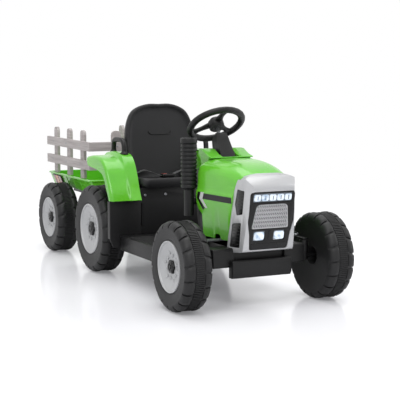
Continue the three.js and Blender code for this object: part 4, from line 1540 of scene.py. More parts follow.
    def build(self) -> None:
        """Builds both wheels on their bodies."""
        shift = Matrix.Translation(Vector((self.centre_x, self.axle_y, self.radius)) * MM)
        for piece, make, slot in (
            ("tyre", self.tyre, Slot.TYRE), ("rim", self.disc, Slot.RIM), (
                "hub_cap", self.hub, Slot.BODY
            ),
        ):
            left = make()
            left.data.transform(shift)
            left.name = f"{piece}_{self.place}_left_piece"
            right = mirrored(left, f"{piece}_{self.place}_right_piece")
            for side, thing in ((Side.LEFT, left), (Side.RIGHT, right)):
                node = f"{piece}_{self.place}_{side.label}"
                self.shop.seat_on(thing, f"wheel_{self.place}_{side.label}", slot, node)


# ---- hood and nose ----


@dataclass
class Hood(Assembly):
    """Green hood: lofted shell with a crease, a raised middle and a black side strip."""

    stations: tuple[tuple[float, float, float, float], ...] = (
        (-630, 73, 319, 333), (-600, 77, 331, 346), (-555, 83, 341, 357), (-500, 89, 346, 362),
        (-428, 96, 347, 363), (-380, 98, 347, 363),
    )
    crease_z: float = 282.0
    foot_z: float = 166.0
    lean: float = 10.0
    wall: float = 3.5

    def _half(self, station: Sequence[float]) -> list[Point]:
        """Half section of one station, from the foot to the crest.

        Args:
            station: Place along Y, half width, edge height and crest height.

        Returns:
            Points from the foot to the middle.
        """
        y, half, edge, crest = station
        scoop = 0.62 * half
        line = rounded(
            [
                (half - self.lean, self.foot_z),
                (half - 0.6, self.crease_z - 1.5),
                (half - 3.2, self.crease_z + 4),
                (half - 4.4, edge - 14),
                (half - 13, edge + 2),
                (scoop, crest - 4.6),
                (scoop - 9, crest - 1.4),
                (0, crest),
            ],
            11, steps=6, closed=False,
        )
        return [(x, y, z) for x, z in line]

    def sheet(self) -> Draft:
        """Outer sheet through all stations, open underneath and at both ends.

        Returns:
            The sheet.
        """
        rows = []
        for station in spline(self.stations, 7):
            half = self._half(station)
            rows.append([*half, *[(-x, y, z) for x, y, z in half[-2::-1]]])
        return Draft().sheet(rows)

    def build(self) -> None:
        """Builds the hood and its strips."""
        shell = walled(self.sheet().to_object("hood_piece", 30), self.wall, (0, -520, 220))
        nose = [
            (-720, 345), (-621.6, 340), (-608.6, 321), (-594.6, 297), (-558.6, 138), (-558.6, 90),
            (-720, 90),
        ]
        rear = [
            (-428, 400), (-428, 292), (-422, 272), (-421.5, 250), (-430, 234), (-446, 222),
            (-443, 120), (-340, 120), (-340, 400),
        ]
        notch = rounded([(-532, 150), (-524, 178), (-500, 178), (-492, 150)], 5)
        carve(
            shell,
            *[Draft().prism(line, Axis.X, -120, 120) for line in (nose, rear, notch)],
            crease=30,
        )
        bevelled(shell, 0.7, 2, 50)
        painted(shell, self.palette.green)
        self.shop.seat_on(shell, Body.TRACTOR, Slot.SHELL, "hood")
        for side in Side:
            strip = painted(self._strip(side, (-586, -446), (262, 277), 0.7), self.palette.body)
            self.shop.seat_on(gathered(f"hood_strip_{side.label}", strip), Body.TRACTOR, Slot.BODY)
            self.shop.seat_on(self._flash(side), Body.TRACTOR, Slot.TRIM)

    def _side_x(self, y: float, z: float) -> float:
        """Half width of the lower side at a point.

        Args:
            y: Place along Y.
            z: Height.

        Returns:
            The half width.
        """
        table = self.stations
        for a, b in zip(table, table[1:]):
            if y <= b[0]:
                half = mix(a[1], b[1], (y - a[0]) / (b[0] - a[0]))
                return half - 0.6 - self.lean / (self.crease_z - self.foot_z) * (self.crease_z - z)
        return table[-1][1]

    def _plate(self, side: Side, lines: Sequence[Sequence[Flat]], proud: float) -> Draft:
        """Thin closed plate on the side through lines of (y, z) points.

        Args:
            side: Side of the train.
            lines: Lines of (y, z) points.
            proud: Height above the side.

        Returns:
            The plate.
        """
        rows = []
        for line in lines:
            outer = [(side.value * (self._side_x(y, z) + proud), y, z) for y, z in line]
            inner = [(side.value * (self._side_x(y, z) - 0.8), y, z) for y, z in line[::-1]]
            rows.append([*outer, *inner])
        return Draft().sheet(rows, wrap=True, caps=True)

    def _strip(self, side: Side, along: Flat, heights: Flat, proud: float) -> Thing:
        """Black strip under the crease.

        Args:
            side: Side of the train.
            along: Front and rear end.
            heights: Lower and upper edge.
            proud: Height above the side.

        Returns:
            The strip.
        """
        lines = []
        for i in range(15):
            y = mix(*along, i / 14)
            lines.append([(y, heights[0]), (y, heights[1])])
        return self._plate(side, lines, proud).to_object(f"strip_{side.label}")

    def _flash(self, side: Side) -> Thing:
        """Plain light and dark flash at the rear end of the strip.

        Args:
            side: Side of the train.

        Returns:
            The flash, with both finishes.
        """
        bars = [
            (
                [
                    [(-462, 279), (-448, 279)], [(-454, 262), (-439, 262)],
                    [(-474, 240), (-464, 240)],
                ],
                self.palette.white_mark, 0.9,
            ),
            (
                [
                    [(-446, 279), (-434, 279)], [(-437, 262), (-426, 262)],
                    [(-462, 238), (-452, 234)],
                ],
                self.palette.gloss, 0.8,
            ),
        ]
        made = [
            painted(self._plate(side, lines, proud).to_object("flash"), material)
            for lines, material, proud in bars
        ]
        return gathered(f"hood_flash_{side.label}", *made)


@dataclass
class Nose(Assembly):
    """Silver surround with the black face panel, lamps, grille, vents and bumper."""

    lean: float = 11.3
    foot_y: float = -624.0
    foot_z: float = 150.0
    inset: float = 4.5
    half: float = 77.0
    taper: float = 0.08
    crest_z: float = 340.0
    wall: float = 3.5
    bar: tuple[float, float, float, float] = (-54, 54, 124, 145)
    grille: tuple[Flat, ...] = ((-51, 56), (51, 56), (43, 112), (36, 117), (-36, 117), (-43, 112))
    lamps: tuple[float, float, float, float] = (12, 44, 24, 49)
    slats: int = 6
    lens_count: int = 5
    lens_gap: float = 2.6
    rib_pitch: float = 6.2
    rib_bends: int = 13

    def half_at(self, y: float) -> float:
        """Half width of the tapering sides at a place along Y."""
        return self.half + (y + 559) * self.taper

    def on_face(self) -> Matrix:
        """Matrix from upright face coordinates, (x, depth, height), to the leaning face."""
        shift = Matrix.Translation((0, self.foot_y - self.inset, self.foot_z))
        return shift @ Matrix.Rotation(math.radians(self.lean), 4, "X")

    def _slab(self, outline: Sequence[Flat], front: float, back: float) -> Draft:
        """Prism on the leaning face."""
        return Draft().prism(outline, Axis.Y, front, back).moved(self.on_face())

    def _panel(self, grow: float) -> list[Flat]:
        """Outline of the face panel.

        Args:
            grow: Distance to widen it by.

        Returns:
            The outline.
        """
        half = [(53, 2 - grow), (57, 42), (64, 74), (61, 145), (56, 150 + grow)]
        right = [(x + grow, h) for x, h in half]
        return rounded([*right, *[(-x, h) for x, h in right[::-1]]], 6, steps=5)

    def _shell(self, inset: float) -> Thing:
        """Solid of the surround: side, plan and front outlines with soft corners.

        Args:
            inset: Distance inside the outer surface.

        Returns:
            The solid.
        """
        lean = math.tan(math.radians(self.lean))
        front = self.foot_y - 9 + inset
        side = [
            (front, 146), (-559 - inset, 138), (-595 - inset, 297), (-609 - inset, 321 - inset),
            (-622, 339 - inset), (-631, 338 - inset), (front - (309 - 150) * lean, 309 - inset),
        ]
        solid = Draft().prism(rounded(side, 9, 5), Axis.X, -100, 100).to_object("nose_solid")
        plan = [
            (self.half_at(at) - inset - cut, y)
            for at, cut, y in ((-540, 0, -540), (-640, 0, -640), (-645, 6, -652), (-645, 20, -672))
        ]
        plan = [*plan, *[(-x, y) for x, y in plan[::-1]]]
        top, half = self.crest_z - inset, self.half - inset
        crown = [
            (half, 90), (half, top - 22), (half - 12, top - 9), (half * 0.45, top - 1.5), (0, top)
        ]
        crown = [*crown, *[(-x, z) for x, z in crown[-2::-1]]]
        return carve(
            solid,
            Draft().prism(rounded(plan[::-1], 14, 6), Axis.Z, 90, 400),
            Draft().prism(rounded(crown, 16, 6), Axis.Y, -700, -540),
            keep=True,
        )

    def surround(self) -> None:
        """Builds the silver surround."""
        shell = self._shell(0)
        hollow = self._shell(self.wall)
        step = shell.modifiers.new("Cut", "BOOLEAN")
        step.operation, step.solver, step.object = "DIFFERENCE", "EXACT", hollow
        settled(shell)
        discard(hollow)
        behind = [
            (-628, 120), (-530, 120), (-530, 150), (-580, 331), (-622, 331), (-622, 160),
            (-628, 160),
        ]
        open_half = self.half - self.wall - 2.2
        carve(
            shell,
            Draft().prism(behind, Axis.X, -open_half, open_half),
            self._slab(self._panel(0.6), -40, 20),
            *[Draft().prism(rounded(vent, 4), Axis.X, -100, 100) for vent in self._vents()],
            crease=32,
        )
        bevelled(shell, 1.2, 2, 48)
        shell.name = "grille_surround_piece"
        painted(shell, self.palette.silver)
        self.shop.seat_on(shell, Body.TRACTOR, Slot.TRIM, "grille_surround")

    @staticmethod
    def _vents() -> list[list[Flat]]:
        """Outlines of the two side openings.

        Returns:
            Two outlines of (y, z) points.
        """
        return [
            [(-632, 240), (-604, 235), (-597, 262), (-609, 300), (-640, 298)],
            [(-619, 156), (-572, 153), (-585, 213), (-626, 219)],
        ]

    def vents(self) -> None:
        """Builds the dark louvred inserts of both sides."""
        for side in Side:
            back = painted(
                self.shop.copy_of("vent_back", f"side_vent_{side.label}", 0.6), self.palette.gloss
            )
            slats = Draft()
            for low, high, front, rear in (
                (244, 294, (-633, -636), (-606, -612)), (162, 211, (-617, -622), (-578, -587)),
            ):
                for i in range(self.slats):
                    t = (i + 0.5) / self.slats
                    z = mix(low, high, t)
                    y0, y1 = mix(*front, t) + 2, mix(*rear, t) - 2
                    rows = []
                    for y in (y0, y1):
                        x = side.value * self.half_at(y)
                        rows.append(
                            [
                                (
                                    x - side.value * 3.4, y, z + 2.2
                                ), (x - side.value * 0.9, y, z - 1.6),
                                (
                                    x - side.value * 0.9, y, z - 2.6
                                ), (x - side.value * 3.4, y, z - 2.6),
                            ]
                        )
                    slats.sheet(rows, wrap=True, caps=True)
            louvres = painted(slats.to_object("louvres"), self.palette.body)
            self.fit(f"side_vent_{side.label}", Slot.BODY, back, louvres)

    def face(self) -> None:
        """Builds the black face panel with its raised lamp frames."""
        panel = self._slab(self._panel(0), -3.4, 1).to_object("face_panel_piece")
        x0, x1, h0, h1 = self.lamps
        tools = [
            self._slab(rounded(rectangle(*self.bar), 5), -9, 9),
            self._slab(rounded(self.grille, 5), -9, 9),
        ]
        tools += [
            self._slab(rounded(rectangle(*sorted((s.value * x0, s.value * x1)), h0, h1), 5), -9, 9)
            for s in Side
        ]
        carve(panel, *tools)
        bevelled(panel, 1.0, 2, 45)
        sill = self._slab(rounded(rectangle(-50, 50, 4, 18), 4), -4.2, -2).to_object("sill")
        brow = self._slab(
            rounded(rectangle(-57, 57, 118.5, 121.5), 1.2), -4.6, -2
        ).to_object("brow")
        nick = self._slab(rounded(rectangle(-3, 3, 26, 50), 2), -4.4, -2).to_object("nick")
        parts = [painted(bevelled(thing, 0.8), self.palette.gloss) for thing in (sill, brow, nick)]
        painted(panel, self.palette.gloss)
        self.fit("face_panel", Slot.BODY, panel, *parts)

    def light_bar(self) -> None:
        """Builds the light bar: a reflector tray and a row of pillow lenses."""
        x0, x1, h0, h1 = self.bar
        tray = self._slab(rounded(rectangle(x0 + 0.4, x1 - 0.4, h0 + 0.4, h1 - 0.4), 4), -1.6, 3.5)
        tray_thing = painted(tray.to_object("tray"), self.palette.reflector)
        count, gap = self.lens_count, self.lens_gap
        width = (x1 - x0 - 4 - gap * (count - 1)) / count
        pillow = self._pillow(width / 2, (h1 - h0) / 2 - 2.4, 3.0).moved(
            Matrix.Translation((x0 + 2 + width / 2, -1.5, (h0 + h1) / 2))
        ).moved(self.on_face())
        lenses = self.repeat.along(
            pillow.to_object("pillow"), count, self.palette.lamp, (width + gap, 0, 0)
        )
        bridge = self._slab(rectangle(-0.9, 0.9, (h0 + h1) / 2 - 5, (h0 + h1) / 2 + 5), -4.8, -2)
        bridge.moved(Matrix.Translation((x0 + 2 + width / 2, 0, 0)))
        bridges = self.repeat.along(
            bridge.to_object("bridge"), count, self.palette.reflector, (width + gap, 0, 0)
        )
        self.fit("light_bar_lens", Slot.LAMP, tray_thing, lenses, bridges)

    @staticmethod
    def _pillow(half_x: float, half_z: float, rise: float) -> Draft:
        """Crowned lens that bulges towards -Y, about the origin.

        Args:
            half_x: Half width.
            half_z: Half height.
            rise: Height of the crown.

        Returns:
            The lens.
        """
        outline = [(x, 0.0, z) for x, z in ellipse(half_x, half_z, 40, 0.42)]
        rings = [(1.0, (0, 0, 0)), (0.99, (0, -rise * 0.55, 0)), (0.93, (0, -rise * 0.86, 0))]
        rings += [(share, (0, -rise * (1 - 0.12 * share), 0)) for share in (0.75, 0.5, 0.25, 0.0)]
        rings.insert(0, (0.0, (0, 0, 0)))
        return Draft().dish(outline, (0, 0, 0), rings)

    def lower_lamps(self) -> None:
        """Builds the two lower lamps: bezels, reflectors and lenses."""
        x0, x1, h0, h1 = self.lamps
        parts = []
        for side in Side:
            a, b = sorted((side.value * x0, side.value * x1))
            tray = self._slab(rounded(rectangle(a + 0.5, b - 0.5, h0 + 0.5, h1 - 0.5), 4), -0.8, 4)
            parts.append(painted(tray.to_object("tray"), self.palette.reflector))
            pillow = self._pillow((b - a) / 2 - 2, (h1 - h0) / 2 - 2, 4.0)
            pillow.moved(
                Matrix.Translation(((a + b) / 2, -0.8, (h0 + h1) / 2))
            ).moved(self.on_face())
            parts.append(painted(pillow.to_object("pillow"), self.palette.lamp))
        strip = self._slab(rectangle(-40, 40, 31, 42), 1.4, 4.6)
        parts.append(painted(strip.to_object("strip"), self.palette.reflector))
        self.fit("lower_lamp_lens", Slot.LAMP, *parts)

    def mesh(self) -> None:
        """Builds the grille: a backing plate with a row of zigzag ribs."""
        plate = self._slab(rounded(self.grille, 5), 1.4, 3).to_object("plate")
        low, high, pitch, bends = 54, 119, self.rib_pitch, self.rib_bends
        rows = []
        for i in range(bends + 1):
            h = mix(low, high, i / bends)
            x = -53 + (2.0 if i % 2 else -2.0)
            rows.append(
                [(x - 1.7, 1.6, h), (x - 1.2, -2.8, h), (x + 1.2, -2.8, h), (x + 1.7, 1.6, h)]
            )
        rib = Draft().sheet(rows, wrap=True, caps=True).moved(self.on_face()).to_object("rib")
        count = int(106 / pitch) + 1
        ribs = self.repeat.along(rib, count, self.palette.mesh, (pitch, 0, 0))
        carve(ribs, self._slab(rounded(self.grille, 5), -6, 3), keep=True, crease=30)
        line = rounded(self.grille, 5)
        path = [tuple(self.on_face() @ Vector((x, -1.4, h))) for x, h in (*line, line[0])]
        normal = tuple(self.on_face().to_3x3() @ Vector((0, 1, 0)))
        rim = Draft().sweep(path, ellipse(1.6, 1.3, 8), normal).to_object("rim")
        made = [
            painted(plate, self.palette.body), *[painted(t, self.palette.mesh) for t in (ribs, rim)]
        ]
        self.fit("grille_mesh", Slot.MESH, *made)

    def bumper(self) -> None:
        """Builds the bumper bar with its stepped face and end caps."""
        bar = self.shop.copy_of("bar", "front_bumper", 2.6, 3)
        lip = Draft().prism(
            rounded(
                [(-607.2, 112), (-603, 112), (-603, 122.5), (-606, 122.5)], 1.5
            ), Axis.X, -83, 83
        ).to_object("lip")
        parts = [painted(thing, self.palette.body) for thing in (bar, lip)]
        self.fit("front_bumper", Slot.BODY, *parts)

    def build(self) -> None:
        """Builds every piece of the nose."""
        self.surround()
        self.vents()
        self.face()
        self.light_bar()
        self.lower_lamps()
        self.mesh()
        self.bumper()


# ---- dash, stack and steering ----


@dataclass
class Dash(Assembly):
    """Dash body, green cowl, rocker switches and the exhaust stack."""

    stack_x: float = -108.0
    stack_y: float = -407.0
    stack_r: float = 21.0
    pipe_r: float = 13.0
    stack_foot: float = 214.0
    shoulder: float = 288.0
    stack_top: float = 416.0
    ribs: int = 11

    def stack(self) -> None:
        """Builds the ribbed exhaust stack with its elbow."""
        r = self.stack_r
        profile: list[Flat] = [
            (0, self.stack_foot), (
                self.pipe_r - 1, self.stack_foot
            ), (self.pipe_r, self.stack_foot + 1),
            (self.pipe_r, self.shoulder - 7), (r - 3, self.shoulder - 1), (r - 0.6, self.shoulder),
        ]
        pitch = (self.stack_top - 14 - self.shoulder) / self.ribs
        for i in range(self.ribs):
            z = self.shoulder + i * pitch
            profile += [
                (r - 0.1, z + 0.8), (r, z + pitch * 0.62), (r - 0.5, z + pitch * 0.72),
                (r - 2.6, z + pitch * 0.78), (r - 2.6, z + pitch * 0.94),
            ]
        top = self.stack_top
        profile += [
            (r + 0.2, top - 13), (r + 0.9, top - 12), (r + 0.9, top - 2), (r, top - 0.3),
            (r - 2, top),
            (r - 5, top), (r - 6, top - 1), (r - 6, top - 8), (r - 8, top - 9), (0, top - 9),
        ]
        body = Draft().lathe(
            profile, 56, (self.stack_x, self.stack_y, 0), Axis.Z
        ).to_object("pipe", 30)
        elbow = Draft().lathe(
            [
                (0, 0), (9, 0), (9, 18), (10.5, 20), (10.5, 26), (0, 26)
            ], 28, (-104, self.stack_y, 252)
        ).to_object("elbow")
        parts = [painted(thing, self.palette.body) for thing in (body, elbow)]
        self.fit("exhaust_stack", Slot.BODY, *parts)

    def build(self) -> None:
        """Builds the dash pieces."""
        self.shop.dress("dash_body", Body.TRACTOR, Slot.BODY, self.palette.body, 2.4, 3)
        self.shop.dress("dash_cowl", Body.TRACTOR, Slot.SHELL, self.palette.green, 4.5, 4)
        self.shop.dress("direction_switch", "direction_rocker", Slot.BODY, self.palette.gloss, 1.2)
        self.shop.dress("power_switch", "power_rocker", Slot.BODY, self.palette.gloss, 1.2)
        self.stack()
        self._frames()

    def _frames(self) -> None:
        """Raised frames round the rockers, with a screw below each."""
        parts = []
        for side in Side:
            x = side.value * 62
            path = [
                (x + a, -391.2, 300 + b)
                for a, b in (*rounded(rectangle(-13, 13, -18, 18), 3), (-10, -18))
            ]
            tube = Draft().sweep(path, ellipse(1.4, 1.0, 8), (0, 1, 0)).to_object("frame")
            parts.append(painted(tube, self.palette.gloss))
        screw = Draft().lathe(
            [(0, 0), (3, 0), (3, 0.8), (2.3, 1.5), (1, 1.5), (0.9, 0.9), (0, 0.9)], 14, axis=Axis.Z
        ).moved(Matrix.Translation((-62, -392, 262)) @ Matrix.Rotation(-math.pi / 2, 4, "X"))
        parts.append(
            self.repeat.along(screw.to_object("screw"), 2, self.palette.steel, (124, 0, 0))
        )
        self.shop.seat_on(gathered("dash_trim", *parts), Body.TRACTOR, Slot.BODY)


@dataclass
class SteeringWheel(Assembly):
    """Thick-rimmed steering wheel with three broad spokes and the horn button."""

    hub_y: float = -349.0
    hub_z: float = 446.0
    tilt: float = 35.0
    ring_r: float = 71.5
    tube_r: float = 9.6
    steps: int = 96
    grips: int = 24

    def _matrix(self) -> Matrix:
        """Matrix from the flat wheel to its place on the shaft."""
        return Matrix.Translation((0, self.hub_y, self.hub_z)) @ Matrix.Rotation(
            -math.radians(self.tilt), 4, "X"
        )

    def build(self) -> None:
        """Builds the wheel and the button."""
        rows = []
        for i in range(self.steps):
            angle = math.tau * i / self.steps
            swell = 1 + 0.03 * math.cos(self.grips * angle)
            row = []
            for a, b in ellipse(self.tube_r * swell, self.tube_r * 0.86, 20):
                r = self.ring_r - 1.4 + a
                row.append((r * math.cos(angle), r * math.sin(angle), b))
            rows.append(row)
        ring = Draft().sheet(rows, wrap=True, loop=True)
        spokes = Draft()
        for degrees in (-90, 35, 145):
            spoke = Draft()
            section_rows = []
            for i in range(9):
                t = i / 8
                x = mix(17.5, self.ring_r - 3, t)
                half = 11.5 - 5.0 * smooth(0, 0.5, t) + 4.5 * smooth(0.6, 1, t)
                rise = 6.0 * (1 - t)
                section_rows.append(
                    [(x, a, b + rise * 0.6) for a, b in ellipse(half, 4.6, 16, 0.6)]
                )
            spoke.sheet(section_rows, wrap=True, caps=True)
            spokes.taken(spoke.moved(Matrix.Rotation(math.radians(degrees), 4, "Z")))
        hub = Draft().lathe(
            [(0, -13.8), (17, -13.8), (20, -11), (21, -4), (21, 6), (19.4, 10.4), (16.4, 12),
             (15.7, 11), (15.7, 5.2), (0, 5.2)], 48, axis=Axis.Z,
        )
        parts = []
        for name, draft in (("ring", ring), ("spokes", spokes), ("hub", hub)):
            parts.append(
                painted(draft.moved(self._matrix()).to_object(name, 40), self.palette.body)
            )
        self.fit("steering_wheel", Slot.BODY, *parts, body=Body.STEERING)
        button = Draft().lathe(
            [(0, 8.2), (14.4, 8.2), (14.6, 14), (13.4, 16.4), (9, 17.4), (0, 17.9)], 40, axis=Axis.Z
        ).moved(self._matrix()).to_object("horn_button_piece", 40)
        self.shop.seat_on(painted(button, self.palette.gloss), Body.HORN, Slot.BODY, "horn_button")


# ---- seat ----


@dataclass
class Seat(Assembly):
    """Moulded one-piece seat with a rolled rim, and the lap belt lying on it."""

    half: float = 112.0
    front: float = -110.0
    bottom: float = 257.6
    cushion: float = 280.0
    top: float = 494.0
    thickness: float = 16.0
    lean: float = 8.0
    foot_y: float = -2.0
    foot_z: float = 268.0

    def _matrix(self) -> Matrix:
        """Matrix from the upright back to its lean."""
        return Matrix.Translation((0, self.foot_y, self.foot_z)) @ Matrix.Rotation(
            -math.radians(self.lean), 4, "X"
        )

    def _back(self) -> Draft:
        """Back with a rolled rim and a dished panel.

        Returns:
            The back, in its place.
        """
        height = self.top - self.foot_z - 1.5
        right = spline(
            [
                (90, 0), (103, 40), (110.5, 96), (109, 140), (101, 176), (86, 203), (62, 218),
                (32, 225), (0, height),
            ],
            6,
        )
        outline = [(x, 0.0, z) for x, z in (*right, *[(-x, z) for x, z in right[-2::-1]])]
        d = self.thickness
        rings = [
            (0.0, 1.0), (0.5, 1.5), (0.80, 2.5), (0.87, 2.0), (0.905, -0.5), (0.935, -4.2),
            (0.965, -4.6), (0.99, -2.6), (1.0, 1.5), (1.0, d - 5), (0.985, d - 1.5),
            (0.95, d - 0.5),
            (0.90, d - 2), (0.86, d - 4), (0.5, d - 4), (0.0, d - 4),
        ]
        centre = (0.0, 0.0, height * 0.48)
        draft = Draft().dish(
            outline, centre, [(share, (0, depth, 0)) for share, depth in rings]
        )
        return draft.moved(self._matrix())

    def _cushion(self) -> Draft:
        """Cushion with a front roll, side bolsters and a dished middle.

        Returns:
            The cushion.
        """
        plan = rounded(rectangle(-self.half + 1, self.half - 1, self.front + 1, 22), 30, 8)
        top = self.cushion
        outline = [(x, y, 0.0) for x, y in plan]
        levels = [
            (0.90, self.bottom), (
                0.945, self.bottom + 0.5
            ), (0.985, self.bottom + 7), (1.0, self.bottom + 13),
            (0.992, top - 3), (0.965, top + 1), (0.93, top + 2.4), (0.88, top + 1.6),
            (0.82, top - 2.4),
            (0.74, top - 4.2), (0.5, top - 4.8), (0.25, top - 5.0), (0.0, top - 5.0),
        ]
        levels.insert(0, (0.0, self.bottom))
        draft = Draft().dish(outline, (0, -44, 0), [(share, (0, 0, z)) for share, z in levels])

        def crowned(point: Point) -> Point:
            """Raises the front roll and the rear corners.

            Args:
                point: Point of the cushion.

            Returns:
                The point, moved up.
            """
            x, y, z = point
            if z < top - 6:
                return point
            roll = 4.0 * math.exp(-(((y + 88) / 16) ** 2))
            rear = 12.0 * smooth(-8, 22, y)
            side = 5.0 * smooth(70, 104, abs(x)) * smooth(-80, -30, y)
            return x, y, z + roll + rear + side

        return draft.bent(crowned)

    def build(self) -> None:
        """Builds the seat and the belt."""
        back = self._back().to_object("back", 50)
        cushion = self._cushion().to_object("cushion", 50)
        arc = spline(
            [
                (-36, -3, 145), (-33, -1.4, 138), (-26, -0.6, 135.6), (0, -0.3, 135),
                (26, -0.6, 135.6), (33, -1.4, 138), (36, -3, 145),
            ],
            5,
        )
        arc = [(x, -0.4, z) for x, _, z in arc]
        line = Draft().sweep(arc, ellipse(1.5, 1.4, 8), (0, 1, 0)).moved(self._matrix())
        seams = line.to_object("line")
        parts = [painted(thing, self.palette.seat) for thing in (back, cushion, seams)]
        self.fit("seat", Slot.SEAT, *parts)
        self._belt()

    def _belt(self) -> None:
        """Lap belt: two webbing straps that arch to a buckle in the middle."""
        z = self.cushion
        left = spline(
            [
                (100, -4, z + 15), (86, -8, z + 11), (64, -13, z + 16), (42, -20, z + 13),
                (22, -28, z + 7), (10, -33, z + 3.5),
            ],
            6,
        )
        right = spline(
            [
                (-100, -4, z + 15), (-88, -9, z + 12), (-66, -15, z + 20), (-46, -22, z + 15),
                (-28, -29, z + 7), (-14, -34, z + 3.5),
            ],
            6,
        )
        section = ellipse(12, 0.9, 14, 0.5)
        straps = Draft()
        for path in (left, right):
            straps.sweep(path, section, (0.18, 1, 0))
        webbing = painted(straps.to_object("straps", 50), self.palette.webbing)
        buckle = Draft().prism(rounded(rectangle(-21, 19, -48, -21), 7), Axis.Z, z - 2, z + 9)
        body = painted(bevelled(buckle.to_object("buckle"), 2.2, 3), self.palette.gloss)
        press = Draft().prism(rounded(rectangle(-17, -4, -43, -26), 4), Axis.Z, z + 6, z + 10)
        button = painted(bevelled(press.to_object("press"), 0.8), self.palette.red)
        self.fit("seat_belt", Slot.WEBBING, webbing, body, button)


# ---- rear shell ----


@dataclass
class Fender(Assembly):
    """Green fender: a raised inner strip, a lower outer strip and an arched skirt."""

    inner_x: float = 114.6
    step_x: float = 148.0
    outer_x: float = 208.0
    drop: float = 10.0
    wall: float = 3.5

    def _line(self, drop: float) -> list[Flat]:
        """Top line from front to rear as (y, z).

        Args:
            drop: Depth below the inner line.

        Returns:
            The points.
        """
        return [
            (-112, 225), (-98 - drop * 0.6, 252), (-80 - drop * 0.6, 295 - drop),
            (-62 - drop * 0.4, 326 - drop), (-42, 344 - drop), (-14, 352 - drop),
            (34, 354.6 - drop), (78, 349 - drop),
        ]

    def _outer(self) -> Draft:
        """Outer sheet as a grid: across the top, over the edge and down the skirt.

        Returns:
            The sheet.
        """
        arch = [
            (-96, 225), (-86, 242), (-75, 258), (-61, 281), (-42, 297), (-10, 305), (34, 310),
            (72, 313),
        ]
        inner = spline(self._line(0), 7)
        outer = spline(self._line(self.drop), 7)
        foot = spline(arch, 7)
        rows = []
        for high, low, base in zip(inner, outer, foot):
            row: list[Point] = []
            for x in (self.inner_x, 122, 134, self.step_x - 4.5):
                row.append((x, high[0], high[1]))
            for share, x in ((0.15, -1.5), (0.5, 1.5), (0.85, 4.5)):
                row.append(
                    (self.step_x + x, mix(high[0], low[0], share), mix(high[1], low[1], share))
                )
            for x in (self.step_x + 7.5, 170, 188, self.outer_x - 9):
                row.append((x, low[0], low[1]))
            for angle in (25, 50, 75):
                c, s = math.cos(math.radians(angle)), math.sin(math.radians(angle))
                share = (1 - c) * 9 / max(20, math.dist(low, base))
                row.append(
                    (
                        self.outer_x - 9 + 9 * s, mix(low[0], base[0], share),
                        mix(low[1], base[1], share),
                    ),
                )
            start = 9 / max(20, math.dist(low, base))
            for share in (start, 0.55, 1.0):
                row.append((self.outer_x, mix(low[0], base[0], share), mix(low[1], base[1], share)))
            rows.append(row)
        return Draft().sheet(rows)

    def build(self) -> None:
        """Builds both fenders."""
        cover = walled(self._outer().to_object("cover", 30), self.wall, (160, 40, 240))
        top = [(y, z - 1.2) for y, z in self._line(0)]
        wall_line = [*top, (74, 262), (-60, 262), (-96, 225)]
        wall = Draft().prism(wall_line[::-1], Axis.X, self.inner_x, self.inner_x + self.wall)
        left = gathered(
            "fender_left_piece",
            *[painted(thing, self.palette.green) for thing in (cover, wall.to_object("wall"))],
        )
        right = mirrored(left, "fender_right_piece")
        for side, thing in ((Side.LEFT, left), (Side.RIGHT, right)):
            self.shop.seat_on(thing, Body.TRACTOR, Slot.SHELL, f"fender_{side.label}")


@dataclass
class Rear(Assembly):
    """Seat box with its wheel guards, grab handles, battery and gearboxes."""

    handle_x: float = 131.0
    handle_front: float = -28.0
    handle_rear: float = 62.0
    handle_top: float = 396.0

    def build(self) -> None:
        """Builds the rear pieces."""
        box = painted(self.shop.copy_of("box", "seat_box", 2.4, 3), self.palette.body)
        rib = Draft().box((-1.6, -97.2, 150), (1.6, -92, 214)).to_object("rib")
        ribs = self.repeat.along(rib, 2, self.palette.body, (212, 0, 0), (-106, 0, 0))
        screw = Draft().lathe(
            [(0, 0), (4, 0), (4, 1), (3, 1.9), (1.2, 1.9), (1, 1), (0, 1)], 14, axis=Axis.Z
        ).moved(Matrix.Translation((-96, -92.2, 236)) @ Matrix.Rotation(math.pi / 2, 4, "X"))
        screws = self.repeat.along(screw.to_object("screw"), 4, self.palette.steel, (64, 0, 0))
        self.fit("seat_box", Slot.BODY, box, ribs, screws)
        for side in Side:
            self._handle(side)
            self.shop.dress(
                f"gearbox_{side.label}", Body.TRACTOR, Slot.MOTOR, self.palette.motor, 1.2
            )
        self.shop.dress("battery", Body.TRACTOR, Slot.MOTOR, self.palette.motor, 2.0)
        self.shop.dress("rear_axle", "wheel_rear_right", Slot.STEEL, self.palette.steel, 0.6)

    def _handle(self, side: Side) -> None:
        """Grab handle: a thick rounded loop with spread feet.

        Args:
            side: Side of the train.
        """
        top, low = self.handle_top - 7, 344.0
        y0, y1 = self.handle_front + 7, self.handle_rear - 7
        corner = rounded(
            [(y0 - 4, low), (y0, top), (y1, top), (y1 + 3, low + 4)], 24, 8, closed=False
        )
        path = [(side.value * self.handle_x, y, z) for y, z in corner]
        bar = Draft().sweep(path, ellipse(7, 7, 20, 0.75), (1, 0, 0)).to_object("bar", 50)
        feet = Draft()
        for y in (y0 - 3, y1 + 2):
            feet.lathe(
                [(0, 0), (12, 0), (12, 3), (9.5, 5), (8, 9), (0, 9)], 28,
                (side.value * self.handle_x, y, 349.0), Axis.Z,
            )
        base = feet.to_object("feet", 50)
        parts = [painted(thing, self.palette.body) for thing in (bar, base)]
        self.fit(f"grab_handle_{side.label}", Slot.BODY, *parts)


# ---- chassis ----


